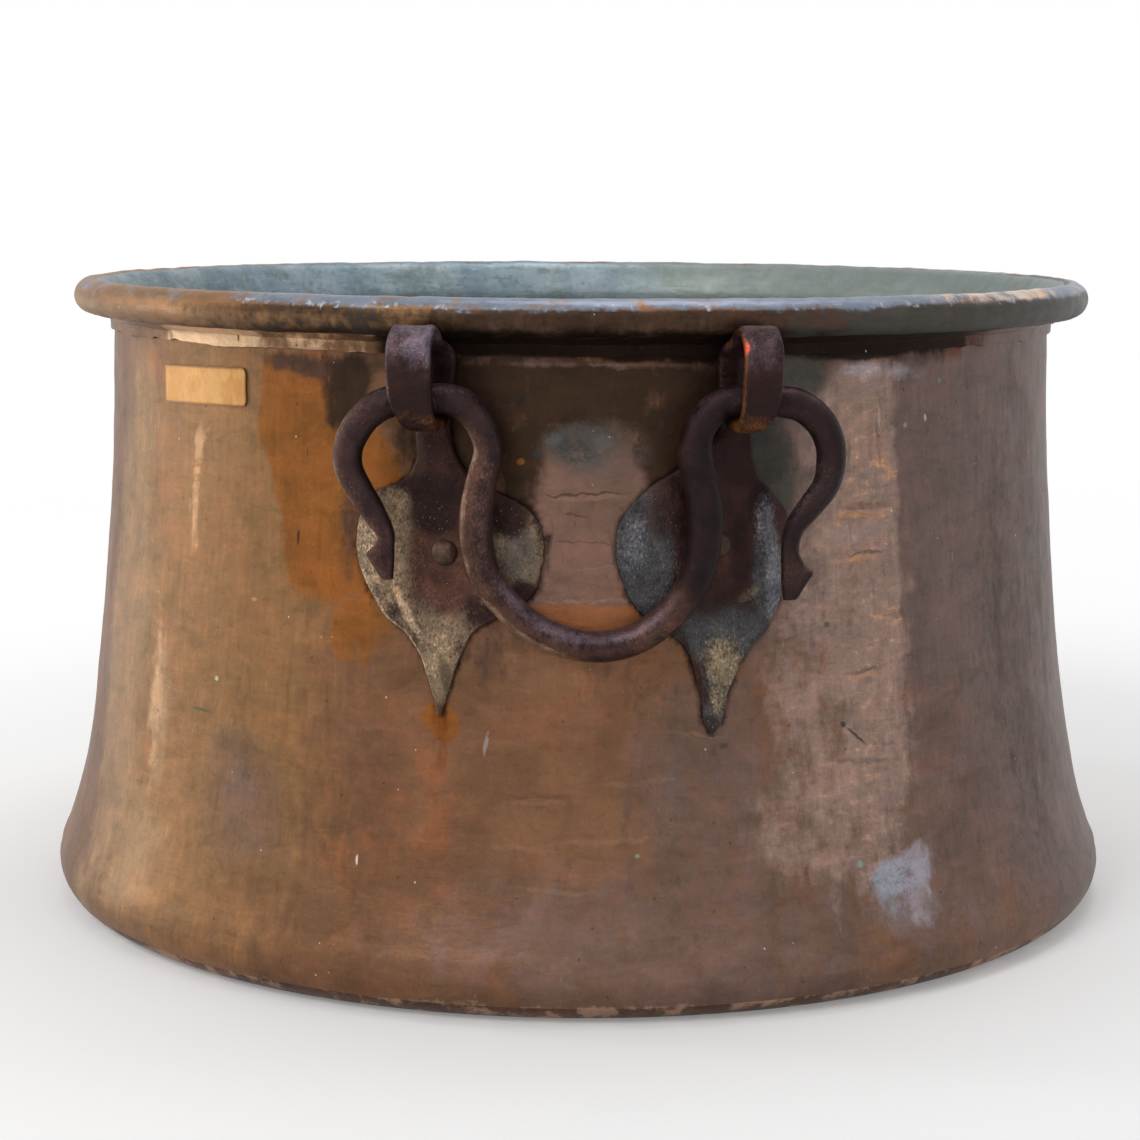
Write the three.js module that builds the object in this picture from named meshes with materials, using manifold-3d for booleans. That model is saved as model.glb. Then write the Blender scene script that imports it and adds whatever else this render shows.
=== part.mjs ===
// A large hand-raised copper cauldron with two forged iron bail handles.
// Millimetres, +Z up. The origin is the centre of the flat base, and the front handle faces -Y.
import * as THREE from "three";
import { mergeVertices } from "three/addons/utils/BufferGeometryUtils.js";
import Module from "manifold-3d";

const wasm = await Module();
wasm.setup();

// Driving sizes of the copper vessel
const SHEET = 2; // thickness of the copper sheet
const NECK_RADIUS = 289.4; // outside radius where the wall runs straight up to the rim
const CORNER_RADIUS = 22; // outside radius of the rounded base corner
const EDGE_HEIGHT = 10; // height of the wall's lower edge above the floor
// Each row is a height above the floor and how far the wall stands out beyond the neck there.
const FLARE = [
  [29, 39.9], [42, 35.2], [66, 27.7], [100, 20.3], [150, 13.5], [220, 6.6], [290, 1.3], [350, 0],
];
const PAN_UPSTAND = 26; // how far the pan's edge stands up inside the wall
const WIRE_RADIUS = 7.9; // iron wire inside the rolled rim
const WIRE_OFFSET = 13.8; // from the neck's surface out to the wire's centre
const WIRE_HEIGHT = 369.6; // wire's centre above the floor
const TAIL_HEIGHT = 5; // flat strip of the rolled edge, hammered down on the wall
const TAIL_DROP = 20; // from the wire's centre down to the strip's free edge
const SEAM_AZIMUTH = 32; // degrees, right of the front
const SEAM_STEP = 28; // height of one pair of dovetails
const SEAM_DEPTH = 24; // how far the dovetails reach across the seam
const SEAM_FLARE = 2.5; // how much wider a dovetail is at its end, on each side

// Driving sizes of the ears, the eyes and the bails
const AXIS_OFFSET = 13.6; // from the neck's surface out to the bail's swing axis
const AXIS_DROP = 41.8; // from the wire's centre down to the swing axis
const BAR_RADIUS = 8.3; // the bail's bar where it runs in the eyes
const STRAP = 7; // thickness of the iron strap that makes the neck and the eye
const STRAP_END = 7.4; // thickness of the strap's curled end, under the bar
const LEAF = 5; // thickness of the leaf at its middle
const LEAF_EDGE = 2.2; // thickness of the leaf at its rim
const EYE_PLAY = 1.6; // room in front of the bar in its eye
const EYE_RISE = 39; // from the swing axis up to the top of the eye
// A left and a right ear, each forged by hand. Sideways sizes count outwards from the eye's middle,
// so a negative size lies towards the other ear. Each outline row is a drop below the swing axis,
// then the inner and the outer edge of the leaf and its neck.
const EARS = [
  {
    name: "left",
    side: -1,
    eyeX: 82.3, // from the middle of the handle to the middle of the eye
    eyeWidth: 24,
    rivetDrop: 82,
    rivetSide: -6.8,
    outline: [
      [168, -6.8, -5], [159, -9, -2.4], [150, -11.6, 0.6], [139, -15.1, 5.3], [130, -18.9, 10.6],
      [124, -22, 15.8], [119, -29, 24], [113, -39.5, 30], [104, -53.2, 36.1], [93, -57, 42.3],
      [79, -58.8, 44.3], [65, -55.3, 42.7], [57, -48.6, 37.6], [51, -38, 31.5], [45, -23, 18.6],
      [36, -14.6, 11.5], [18, -8.2, 9.9],
    ],
  },
  {
    name: "right",
    side: 1,
    eyeX: 86,
    eyeWidth: 21,
    rivetDrop: 77,
    rivetSide: -9.9,
    outline: [
      [177, -15.6, -13.4], [173, -17.6, -9.6], [166, -18.3, -6.9], [157, -19.5, -5.2], [145, -22.7, 0.7],
      [135, -26, 6.5], [125, -34, 15.4], [113, -50.7, 23.6], [106, -56.4, 26.5], [94, -61, 26.8],
      [81, -63.4, 28.3], [69, -62.2, 30.4], [61, -58.5, 30], [51, -50.1, 21], [44, -42, 14.1],
      [36, -29, 11.2], [18, -9, 9.2],
    ],
  },
];
// Each row is a way along the bail: sideways place, drop below the swing axis, and the half-widths of
// the bar on its outer side, on its inner side and across it. Sideways places count outwards from the
// eye on each half, and from the middle of the handle on the bend that joins them.
const LEFT_HALF = [
  [18.6, 93.6, 1.8, 3.4, 3.4], [19.2, 87, 6.2, 4.4, 4.4], [19, 80.6, 11, 4.4, 4.8],
  [19, 76.6, 7, 4.2, 4.8], [19.2, 71, 4.8, 4.8, 5], [24.4, 60.3, 6.1, 6.1, 6.1], [32.6, 46.8, 6.9, 6.9, 6.9],
  [38, 35.5, 7.5, 7.5, 7.5], [38.2, 25.5, 7.8, 7.8, 7.8], [33.9, 15.2, 8.1, 8.1, 8.1],
  [25.2, 5.4, 8.3, 8.3, 8.3], [14, 0.6, 8.3, 8.3, 8.3], [0, 0, 8.3, 8.3, 8.3],
  [-13, 0, 8.3, 8.3, 8.3], [-21, 2.6, 8.3, 8.3, 8.3], [-29.5, 11.5, 8.2, 8.2, 8.2],
  [-34.2, 25.5, 7.8, 7.8, 7.8], [-30.8, 41, 8, 8, 8], [-28, 59.5, 8.9, 8.9, 8.9],
  [-28.4, 76.7, 8.6, 8.6, 8.6], [-34, 94, 8.2, 8.2, 8.2],
];
const BEND = [
  [-31.5, 113.5, 8.2, 8.2, 8.2], [-14, 124, 8.2, 8.2, 8.2], [5, 128.5, 8.2, 8.2, 8.2],
  [24, 126, 8.2, 8.2, 8.2], [41, 116, 8.3, 8.3, 8.3],
];
const RIGHT_HALF = [
  [23, 103, 2.6, 4, 3.4], [22.7, 97, 7, 4.6, 4.4], [22.4, 90, 12.4, 4.8, 4.8],
  [22.2, 85.6, 8, 4.6, 4.8], [22.2, 79, 4.8, 4.8, 4.8], [24.2, 66, 5.2, 5.2, 5.4], [33.6, 52.8, 6.6, 6.6, 6.6],
  [40, 43.5, 7, 7, 7], [42.5, 33, 7.5, 7.5, 7.5], [42, 22, 7.9, 7.9, 7.9],
  [36.8, 11, 8.2, 8.2, 8.2], [26.6, 2.6, 8.3, 8.3, 8.3], [13, 0, 8.3, 8.3, 8.3],
  [0, 0, 8.3, 8.3, 8.3], [-11, 0.6, 8.3, 8.3, 8.3], [-19.5, 6.2, 8.3, 8.3, 8.3],
  [-25.6, 15, 8.5, 8.5, 8.5], [-27.6, 26.5, 8.9, 8.9, 8.9], [-25, 41, 9.2, 9.2, 9.2],
  [-22.5, 56, 9.4, 9.4, 9.4], [-22.2, 72, 9.2, 9.2, 9.2], [-24.2, 84.5, 8.9, 8.9, 8.9],
  [-30.5, 99.5, 8.5, 8.5, 8.5],
];

// Driving sizes of the rivets, their roves and the blank plate
const SHANK_RADIUS = 4;
const LEAF_HEAD = { radius: 7, height: 4.5 };
const EYE_HEAD = { radius: 6, height: 2.6 };
const EYE_RIVET_DROP = -1; // from the swing axis down to the rivet hidden in the eye
const ROVE = { radius: 9, thickness: 2.2 };
const PEEN = { radius: 6, height: 3 };
const PLATE = { width: 77, height: 21, thickness: 0.8, corner: 3, azimuth: -46.7, drop: 43.6, turn: 1.6 };

// Clearances
const GAP = 0.3; // between pieces that touch
const SEAM_GAP = 0.3; // braze line of the seam

// Mesh fineness
const AROUND = 48; // facets round the vessel
const BAR_SIDES = 12;
const BAR_STEP = 12;
const ROUND_SIDES = 10;
const PLATE_COLUMNS = 8;
const CORNER_COLUMNS = 3;
const ROLL_STEP = 30; // degrees between the rim's facets
const CAVITY_STEP = 45; // degrees between the facets of the wire's channel
const LEAN_ANGLE = 150; // degrees round the wire, from outwards, where the neck's lean meets the roll
const ROLL_END = -120; // degrees round the wire where the rolled edge leaves it for the wall
const MERGE = 1e-4; // vertices closer than this are one
const HALF_STEP = 0.5; // half the stretch that a slope is measured on

const WIRE_RING = NECK_RADIUS + WIRE_OFFSET;
const AXIS_Y = NECK_RADIUS + AXIS_OFFSET;
const AXIS_HEIGHT = WIRE_HEIGHT - AXIS_DROP;
const ROLL_RADIUS = WIRE_RADIUS + GAP + SHEET;
const COPPER = { color: 0x8f5f42, roughness: 0.45, metalness: 0.85 };
const PAN_COPPER = { color: 0x7d5440, roughness: 0.5, metalness: 0.85 };
const IRON = { color: 0x453536, roughness: 0.6, metalness: 0.6 };
const WIRE_IRON = { color: 0x4a3f3a, roughness: 0.7, metalness: 0.6 };
const GILT = { color: 0xb98a4e, roughness: 0.4, metalness: 0.7 };

const cauldron = new THREE.Group();
cauldron.name = "copper_cauldron";

function addMesh(group, name, geometry, finish) {
  const mesh = new THREE.Mesh(geometry, new THREE.MeshStandardMaterial(finish));
  mesh.name = name;
  group.add(mesh);
  return mesh;
}

const degrees = THREE.MathUtils.degToRad;

// A smooth curve through rows of numbers, as a function of each row's distance along it
function smoothRows(distances, rows) {
  const curve = new THREE.CubicInterpolant(distances, rows.flat(), rows[0].length);
  return (distance) => Array.from(curve.evaluate(distance));
}

// Turns a closed body's faces outward, whichever way they were wound
function turnOutward(geometry) {
  const place = geometry.getAttribute("position");
  const index = geometry.getIndex();
  const [a, b, c] = [new THREE.Vector3(), new THREE.Vector3(), new THREE.Vector3()];
  let volume = 0;
  for (let i = 0; i < index.count; i += 3) {
    a.fromBufferAttribute(place, index.getX(i));
    b.fromBufferAttribute(place, index.getX(i + 1));
    c.fromBufferAttribute(place, index.getX(i + 2));
    volume += a.dot(b.cross(c));
  }
  if (volume < 0) {
    for (let i = 0; i < index.count; i += 3) {
      const kept = index.getX(i);
      index.setX(i, index.getX(i + 1));
      index.setX(i + 1, kept);
    }
  }
  geometry.computeVertexNormals();
  return geometry;
}

function mergedPositions(geometry) {
  const bare = new THREE.BufferGeometry();
  bare.setAttribute("position", geometry.getAttribute("position"));
  bare.setIndex(geometry.getIndex());
  return turnOutward(mergeVertices(bare, MERGE));
}

function toSolid(geometry) {
  const merged = mergedPositions(geometry);
  return new wasm.Manifold(new wasm.Mesh({
    numProp: 3,
    vertProperties: new Float32Array(merged.getAttribute("position").array),
    triVerts: new Uint32Array(merged.getIndex().array),
  }));
}

function fromSolid(solid) {
  const mesh = solid.getMesh();
  const geometry = new THREE.BufferGeometry();
  geometry.setAttribute("position", new THREE.BufferAttribute(mesh.vertProperties, 3));
  geometry.setIndex(new THREE.BufferAttribute(mesh.triVerts, 1));
  geometry.computeVertexNormals();
  return geometry;
}

function cutAway(geometry, cutters) {
  return fromSolid(cutters.reduce((solid, cutter) => solid.subtract(toSolid(cutter)), toSolid(geometry)));
}

// A closed body through rings of points, with flat ends
function loft(rings) {
  const count = rings[0].length;
  const positions = rings.flat().flatMap((point) => point.toArray());
  const faces = [];
  for (let ring = 0; ring < rings.length - 1; ring += 1) {
    for (let i = 0; i < count; i += 1) {
      const here = ring * count;
      const next = here + count;
      const after = (i + 1) % count;
      faces.push(here + i, here + after, next + after, here + i, next + after, next + i);
    }
  }
  const last = (rings.length - 1) * count;
  for (let i = 1; i < count - 1; i += 1) {
    faces.push(0, i + 1, i, last, last + i, last + i + 1);
  }
  const geometry = new THREE.BufferGeometry();
  geometry.setAttribute("position", new THREE.Float32BufferAttribute(positions, 3));
  geometry.setIndex(faces);
  return turnOutward(geometry);
}

// A body of revolution about +Z from [radius, height] pairs
function turned(profile, sides) {
  const geometry = new THREE.LatheGeometry(profile.map(([r, z]) => new THREE.Vector2(r, z)), sides);
  return mergedPositions(geometry.rotateX(Math.PI / 2));
}

// The wall's outer surface
const flareAt = smoothRows(FLARE.map(([height]) => height), FLARE.map(([, offset]) => [offset]));
const [cornerTop] = FLARE[0];
const neckStart = FLARE[FLARE.length - 1][0];
const cornerAngle = Math.asin(Math.min(0.9, (cornerTop - CORNER_RADIUS) / CORNER_RADIUS));
const cornerCentre = NECK_RADIUS + FLARE[0][1] - CORNER_RADIUS * Math.cos(cornerAngle);

function wallRadius(height) {
  if (height >= neckStart) return NECK_RADIUS;
  if (height >= cornerTop) return NECK_RADIUS + flareAt(height)[0];
  const rise = height - CORNER_RADIUS;
  return cornerCentre + Math.sqrt(CORNER_RADIUS ** 2 - rise ** 2);
}

// The wall's outward direction at a height, as radius and height parts
function wallNormal(height) {
  const slope = (wallRadius(height + HALF_STEP) - wallRadius(height - HALF_STEP)) / (2 * HALF_STEP);
  const length = Math.hypot(1, slope);
  return [1 / length, -slope / length];
}

// A point that stands a distance off the wall's outer surface, or sinks under it where negative
function offWall(height, distance) {
  const [outward, upward] = wallNormal(height);
  return [wallRadius(height) + distance * outward, height + distance * upward];
}

function atAzimuth(radius, height, azimuth) {
  return new THREE.Vector3(radius * Math.sin(azimuth), -radius * Math.cos(azimuth), height);
}

// Places an object on the wall's outer surface: its own +Z points out of the wall and +Y up it
function seatOnWall(object, azimuth, height) {
  const [outward, upward] = wallNormal(height);
  const out = atAzimuth(outward, upward, azimuth);
  const along = new THREE.Vector3(Math.cos(azimuth), Math.sin(azimuth), 0);
  const up = new THREE.Vector3().crossVectors(out, along);
  object.matrixAutoUpdate = false;
  object.matrix.makeBasis(along, up, out).setPosition(atAzimuth(wallRadius(height), height, azimuth));
  return object;
}

// The wall with its rim rolled over the wire, still in one ring
const wallHeights = [14, 20, 29, 45, 70, 105, 150, 190, 230, 270, 310];
const insideHeights = [14, 20, 29, 45, 70, 105, 150, 230, 310];

function aroundWire(radius, angle) {
  const turn = degrees(angle);
  return [WIRE_RING + radius * Math.cos(turn), WIRE_HEIGHT + radius * Math.sin(turn)];
}

// Where the line that touches a circle round the wire meets the upright neck
function leanStart(circle, neck) {
  const [radius, height] = aroundWire(circle, LEAN_ANGLE);
  return [neck, height - (radius - neck) / Math.tan(degrees(180 - LEAN_ANGLE))];
}

function rolledWallProfile() {
  const outside = [EDGE_HEIGHT, ...wallHeights].map((height) => offWall(height, 0));
  const cavity = [];
  for (let angle = 180 - CAVITY_STEP; angle >= CAVITY_STEP - 180; angle -= CAVITY_STEP) {
    cavity.push(aroundWire(WIRE_RADIUS + GAP, angle));
  }
  const tailBottom = WIRE_HEIGHT - TAIL_DROP;
  const tailTop = tailBottom + TAIL_HEIGHT;
  const tailInside = NECK_RADIUS + GAP;
  const tail = [
    [tailInside + SHEET, tailTop + SHEET],
    [tailInside, tailTop],
    [tailInside, tailBottom],
    [tailInside + SHEET, tailBottom],
    [tailInside + SHEET, tailTop],
  ];
  const roll = [];
  for (let angle = ROLL_END; angle <= LEAN_ANGLE; angle += ROLL_STEP) {
    roll.push(aroundWire(ROLL_RADIUS, angle));
  }
  const inside = [EDGE_HEIGHT, ...insideHeights].map((height) => offWall(height, -SHEET)).reverse();
  const leanOutside = leanStart(WIRE_RADIUS + GAP, NECK_RADIUS);
  const leanInside = leanStart(ROLL_RADIUS, NECK_RADIUS - SHEET);
  const profile = [...outside, leanOutside, ...cavity, ...tail, ...roll, leanInside, ...inside];
  return [...profile, profile[0]];
}

// The line of the dovetails, as [sideways, height] pairs, straight across the rim
function seamLine() {
  const reach = SEAM_DEPTH / 2;
  const line = [[0, -SEAM_STEP]];
  const top = WIRE_HEIGHT - TAIL_DROP - SEAM_STEP;
  for (let height = EDGE_HEIGHT + SEAM_STEP / 2; height < top; height += SEAM_STEP) {
    const middle = height + SEAM_STEP / 2;
    line.push([-reach, height - SEAM_FLARE], [-reach, middle + SEAM_FLARE]);
    line.push([reach, middle - SEAM_FLARE], [reach, height + SEAM_STEP + SEAM_FLARE]);
  }
  line.push([0, line[line.length - 1][1]]);
  line.push([0, WIRE_HEIGHT + ROLL_RADIUS + SEAM_STEP]);
  return line.map(([x, y]) => new THREE.Vector2(x, y));
}

// Moves each corner of an open line sideways, so that both its stretches move by the same distance
function shiftLine(line, distance) {
  const sideways = line.slice(1).map((point, i) => {
    const along = new THREE.Vector2().subVectors(point, line[i]).normalize();
    return new THREE.Vector2(-along.y, along.x);
  });
  return line.map((point, i) => {
    const arriving = sideways[Math.max(i - 1, 0)];
    const leaving = sideways[Math.min(i, sideways.length - 1)];
    const halfway = new THREE.Vector2().addVectors(arriving, leaving).normalize();
    return point.clone().addScaledVector(halfway, distance / halfway.dot(arriving));
  });
}

function seamCutter(azimuth) {
  const line = seamLine();
  const outline = [...shiftLine(line, SEAM_GAP / 2), ...shiftLine(line, -SEAM_GAP / 2).reverse()];
  const near = NECK_RADIUS / 2;
  const far = wallRadius(CORNER_RADIUS) + CORNER_RADIUS + SEAM_DEPTH;
  const strip = new THREE.ExtrudeGeometry(new THREE.Shape(outline), { depth: far - near, bevelEnabled: false });
  strip.rotateX(Math.PI / 2);
  strip.translate(0, -near, 0);
  return strip.rotateZ(azimuth);
}

// Holes for the rivets, square to the wall
function rivetPlaces() {
  const places = [];
  for (const ear of EARS) {
    const eyeAzimuth = Math.atan2(ear.eyeX, AXIS_Y);
    const leafHeight = AXIS_HEIGHT - ear.rivetDrop;
    const leafAzimuth = ear.side * (eyeAzimuth + ear.rivetSide / wallRadius(leafHeight));
    places.push({ ear, name: "leaf", azimuth: leafAzimuth, height: leafHeight, stack: LEAF, head: LEAF_HEAD });
    places.push({
      ear,
      name: "eye",
      azimuth: ear.side * eyeAzimuth,
      height: AXIS_HEIGHT - EYE_RIVET_DROP,
      stack: STRAP,
      head: EYE_HEAD,
    });
  }
  return places;
}

function rivetHole({ azimuth, height }, turn) {
  const reach = 4 * (STRAP + SHEET);
  const hole = new THREE.CylinderGeometry(SHANK_RADIUS + GAP, SHANK_RADIUS + GAP, 2 * reach, ROUND_SIDES);
  hole.rotateX(Math.PI / 2);
  const seat = seatOnWall(new THREE.Object3D(), azimuth, height);
  return hole.applyMatrix4(seat.matrix).rotateZ(turn);
}

function makeWall() {
  let ring = toSolid(turned(rolledWallProfile(), AROUND));
  for (const turn of [0, Math.PI]) {
    ring = ring.subtract(toSolid(seamCutter(degrees(SEAM_AZIMUTH) + turn)));
    for (const place of rivetPlaces()) ring = ring.subtract(toSolid(rivetHole(place, turn)));
  }
  const sheets = ring.decompose().sort((a, b) => a.boundingBox().min[1] - b.boundingBox().min[1]);
  addMesh(cauldron, "front_wall_sheet", fromSolid(sheets[0]), COPPER);
  addMesh(cauldron, "rear_wall_sheet", fromSolid(sheets[1]), COPPER);
}

// The pan: a flat base, a rounded corner and an edge that stands up inside the wall
function makePan() {
  const under = -(SHEET + GAP);
  const arc = [];
  const arcEnd = Math.asin((EDGE_HEIGHT - GAP - CORNER_RADIUS) / CORNER_RADIUS);
  const arcSteps = 3;
  for (let i = 0; i <= arcSteps; i += 1) {
    const turn = THREE.MathUtils.lerp(-Math.PI / 2, arcEnd, i / arcSteps);
    arc.push([cornerCentre, CORNER_RADIUS, turn]);
  }
  const onArc = (radius) => ([x, y, turn]) => [x + radius * Math.cos(turn), y + radius * Math.sin(turn)];
  const upstand = [...wallHeights.slice(0, 3), EDGE_HEIGHT + PAN_UPSTAND];
  const joggle = offWall(EDGE_HEIGHT - GAP, under);
  const outerStand = upstand.map((height) => offWall(height, under));
  const outside = [[0, 0], ...arc.map(onArc(CORNER_RADIUS)), joggle, ...outerStand];
  const stand = upstand.map((height) => offWall(height, under - SHEET));
  const bowl = arc.slice(0, arcSteps).map(onArc(CORNER_RADIUS - SHEET));
  const inside = [[0, SHEET], ...bowl, ...stand];
  addMesh(cauldron, "floor_pan", turned([...outside, ...inside.reverse()], AROUND), PAN_COPPER);
}

function makeWire() {
  const ring = new THREE.TorusGeometry(WIRE_RING, WIRE_RADIUS, 8, AROUND).translate(0, 0, WIRE_HEIGHT);
  addMesh(cauldron, "rim_wire", mergedPositions(ring), WIRE_IRON);
}

// The ear: leaf, neck and eye in one forging, as a ribbon that lies on the wall and then curls
function eyePath(ear) {
  const eyeAzimuth = Math.atan2(ear.eyeX, AXIS_Y);
  const axisRadius = AXIS_Y / Math.cos(eyeAzimuth);
  const edgeAzimuth = eyeAzimuth + ear.eyeWidth / 2 / axisRadius;
  const front = (AXIS_Y + BAR_RADIUS + EYE_PLAY) / Math.cos(edgeAzimuth) + STRAP;
  const bottom = AXIS_HEIGHT - BAR_RADIUS - GAP - STRAP_END;
  const top = AXIS_HEIGHT + EYE_RISE;
  const neckFace = wallRadius(AXIS_HEIGHT) + GAP;
  const underRoll = WIRE_HEIGHT - ROLL_RADIUS;
  return [
    [neckFace, AXIS_HEIGHT],
    [neckFace, AXIS_HEIGHT + 8],
    [neckFace + 2, AXIS_HEIGHT + 17],
    [WIRE_RING - 6, underRoll - 6],
    [WIRE_RING + 2, underRoll - 2],
    [WIRE_RING + 10, underRoll + 0.4],
    [WIRE_RING + 16, top - 2.6],
    [front - 10, top],
    [front - 3.5, top - 5],
    [front, top - 14],
    [front, AXIS_HEIGHT + 12],
    [front, AXIS_HEIGHT],
    [front - 3, AXIS_HEIGHT - 8.5],
    [front - 9.5, bottom + 1.2],
    [axisRadius, bottom],
    [axisRadius - 8, bottom + 1],
    [neckFace + STRAP + GAP, bottom + 4.5],
  ];
}

// Half-width of the strap as a share of the eye's width, its thickness, and how far its middle leans
// towards the other ear, along the eye's path
const EYE_SHARES = [
  [0.4, STRAP, 0], [0.42, STRAP, 0], [0.45, STRAP, 0], [0.47, STRAP, 0], [0.5, STRAP, 0], [0.5, STRAP, 0],
  [0.5, STRAP, 0], [0.5, STRAP, 0], [0.5, STRAP, 0], [0.5, STRAP, 0], [0.5, STRAP, 0.4], [0.48, STRAP, 1.2],
  [0.43, STRAP, 2.2], [0.37, STRAP_END, 3], [0.3, STRAP_END, 3.4], [0.25, STRAP_END, 3.4],
  [0.22, STRAP_END, 3.4],
];

const acrossRibbon = [-1, -0.7, -0.35, 0, 0.35, 0.7, 1];

// One ring of points round the ribbon at a place on its path
function ribbonRing(ear, place, normal, inner, outer, middle, edge) {
  const eyeAzimuth = Math.atan2(ear.eyeX, AXIS_Y);
  const centre = (inner + outer) / 2;
  const half = (outer - inner) / 2;
  const point = (share, depth) => {
    const radius = place[0] + normal[0] * depth;
    const height = place[1] + normal[1] * depth;
    const azimuth = ear.side * (eyeAzimuth + (centre + half * share) / radius);
    return atAzimuth(radius, height, azimuth);
  };
  const crown = (share) => edge + (middle - edge) * (1 - Math.abs(share) ** 1.6);
  return [
    ...acrossRibbon.map((share) => point(share, crown(share))),
    ...acrossRibbon.toReversed().map((share) => point(share, 0)),
  ];
}

function leafRings(ear) {
  const drops = ear.outline.map(([drop]) => drop);
  const [lowest, highest] = [drops[0], drops[drops.length - 1]];
  const edges = smoothRows(drops.map((drop) => lowest - drop), ear.outline.map(([, ...row]) => row));
  return drops.map((drop) => {
    const [inner, outer] = edges(lowest - drop);
    const up = THREE.MathUtils.smoothstep(lowest - drop, lowest - highest - 45, lowest - highest);
    const point = THREE.MathUtils.smoothstep(lowest - drop, -12, 45);
    const middle = THREE.MathUtils.lerp(LEAF_EDGE + (LEAF - LEAF_EDGE) * point, STRAP, up);
    const edge = THREE.MathUtils.lerp(LEAF_EDGE, STRAP * 0.8, up);
    const height = AXIS_HEIGHT - drop;
    return ribbonRing(ear, offWall(height, GAP), wallNormal(height), inner, outer, middle, edge);
  });
}

function eyeRings(ear) {
  const path = eyePath(ear);
  const distances = [0];
  for (let i = 1; i < path.length; i += 1) {
    const step = Math.hypot(path[i][0] - path[i - 1][0], path[i][1] - path[i - 1][1]);
    distances.push(distances[i - 1] + step);
  }
  const along = smoothRows(distances, path.map((place, i) => [...place, ...EYE_SHARES[i]]));
  const total = distances[distances.length - 1];
  const steps = 20;
  const rings = [];
  for (let i = 0; i <= steps; i += 1) {
    const distance = (total * i) / steps;
    const [radius, height, share, thickness, lean] = along(distance);
    const before = along(Math.max(distance - HALF_STEP, 0));
    const after = along(Math.min(distance + HALF_STEP, total));
    const turn = Math.atan2(after[1] - before[1], after[0] - before[0]);
    const normal = [Math.sin(turn), -Math.cos(turn)];
    const half = share * ear.eyeWidth;
    const [inner, outer] = [-lean - half, -lean + half];
    rings.push(ribbonRing(ear, [radius, height], normal, inner, outer, thickness, thickness * 0.8));
  }
  return rings;
}

function makeEar(group, prefix, ear) {
  const geometry = loft([...leafRings(ear), ...eyeRings(ear)]);
  const holes = rivetPlaces().filter((place) => place.ear === ear).map((place) => rivetHole(place, 0));
  addMesh(group, `${prefix}_${ear.name}_ear`, cutAway(geometry, holes), IRON);
}

// A rivet's outer head, shank and hammered inner end in one body, and the rove under that end
function makeRivet(group, prefix, { ear, name, azimuth, height, stack, head }) {
  const facetSag = wallRadius(height) * (1 - Math.cos(Math.PI / AROUND));
  const outerSeat = GAP + stack + GAP;
  const innerFace = -SHEET - GAP - facetSag;
  const roveFace = innerFace - ROVE.thickness;
  const innerSeat = roveFace - GAP;
  const rivet = turned([
    [0, outerSeat + head.height],
    [head.radius * 0.55, outerSeat + head.height * 0.82],
    [head.radius * 0.9, outerSeat + head.height * 0.42],
    [head.radius, outerSeat],
    [SHANK_RADIUS, outerSeat],
    [SHANK_RADIUS, innerSeat],
    [PEEN.radius, innerSeat],
    [PEEN.radius * 0.7, innerSeat - PEEN.height * 0.75],
    [0, innerSeat - PEEN.height],
  ], ROUND_SIDES);
  const rove = turned([
    [SHANK_RADIUS + GAP, innerFace],
    [ROVE.radius, innerFace],
    [ROVE.radius, roveFace],
    [SHANK_RADIUS + GAP, roveFace],
    [SHANK_RADIUS + GAP, innerFace],
  ], ROUND_SIDES);
  const label = `${prefix}_${ear.name}_${name}`;
  seatOnWall(addMesh(group, `${label}_rivet`, rivet, IRON), azimuth, height);
  seatOnWall(addMesh(group, `${label}_rove`, rove, IRON), azimuth, height);
}

// The bail: one bar from foot to foot through both eyes, drawn in its own plane below the axis
function bailRows() {
  const left = LEFT_HALF.map(([side, drop, ...half]) => [-EARS[0].eyeX - side, drop, ...half]);
  const right = RIGHT_HALF.map(([side, drop, ...half]) => [EARS[1].eyeX + side, drop, ...half]);
  return [...left, ...BEND, ...right.reverse()];
}

function bailLine() {
  const rows = bailRows();
  const distances = [0];
  for (let i = 1; i < rows.length; i += 1) {
    const step = Math.hypot(rows[i][0] - rows[i - 1][0], rows[i][1] - rows[i - 1][1]);
    distances.push(distances[i - 1] + step);
  }
  return { distances, along: smoothRows(distances, rows) };
}

// How far the hanging bail leans out before its bend rests on the wall
function restLean() {
  const [, drop, , , half] = BEND[2];
  const reach = wallRadius(AXIS_HEIGHT - drop) + half + GAP;
  return Math.asin((reach - AXIS_Y) / drop);
}

function makeBail(group, prefix) {
  const { distances, along } = bailLine();
  const places = [0];
  for (let i = 1; i < distances.length; i += 1) {
    const parts = Math.ceil((distances[i] - distances[i - 1]) / BAR_STEP);
    for (let part = 1; part <= parts; part += 1) {
      places.push(THREE.MathUtils.lerp(distances[i - 1], distances[i], part / parts));
    }
  }
  const end = distances[distances.length - 1];
  const rings = places.map((distance) => {
    const [x, drop, outer, inner, across] = along(distance);
    const before = along(Math.max(distance - HALF_STEP, 0));
    const after = along(Math.min(distance + HALF_STEP, end));
    const turn = Math.atan2(before[1] - after[1], after[0] - before[0]);
    const ring = [];
    for (let side = 0; side < BAR_SIDES; side += 1) {
      const angle = (side * 2 * Math.PI) / BAR_SIDES;
      const sideways = Math.cos(angle) * (Math.cos(angle) > 0 ? outer : inner);
      ring.push(new THREE.Vector3(x - sideways * Math.sin(turn), -across * Math.sin(angle),
        -drop + sideways * Math.cos(turn)));
    }
    return ring;
  });
  const bail = addMesh(group, `${prefix}_bail`, loft(rings), IRON);
  bail.rotation.x = -restLean();
  bail.position.set(0, -AXIS_Y, AXIS_HEIGHT);
}

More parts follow.
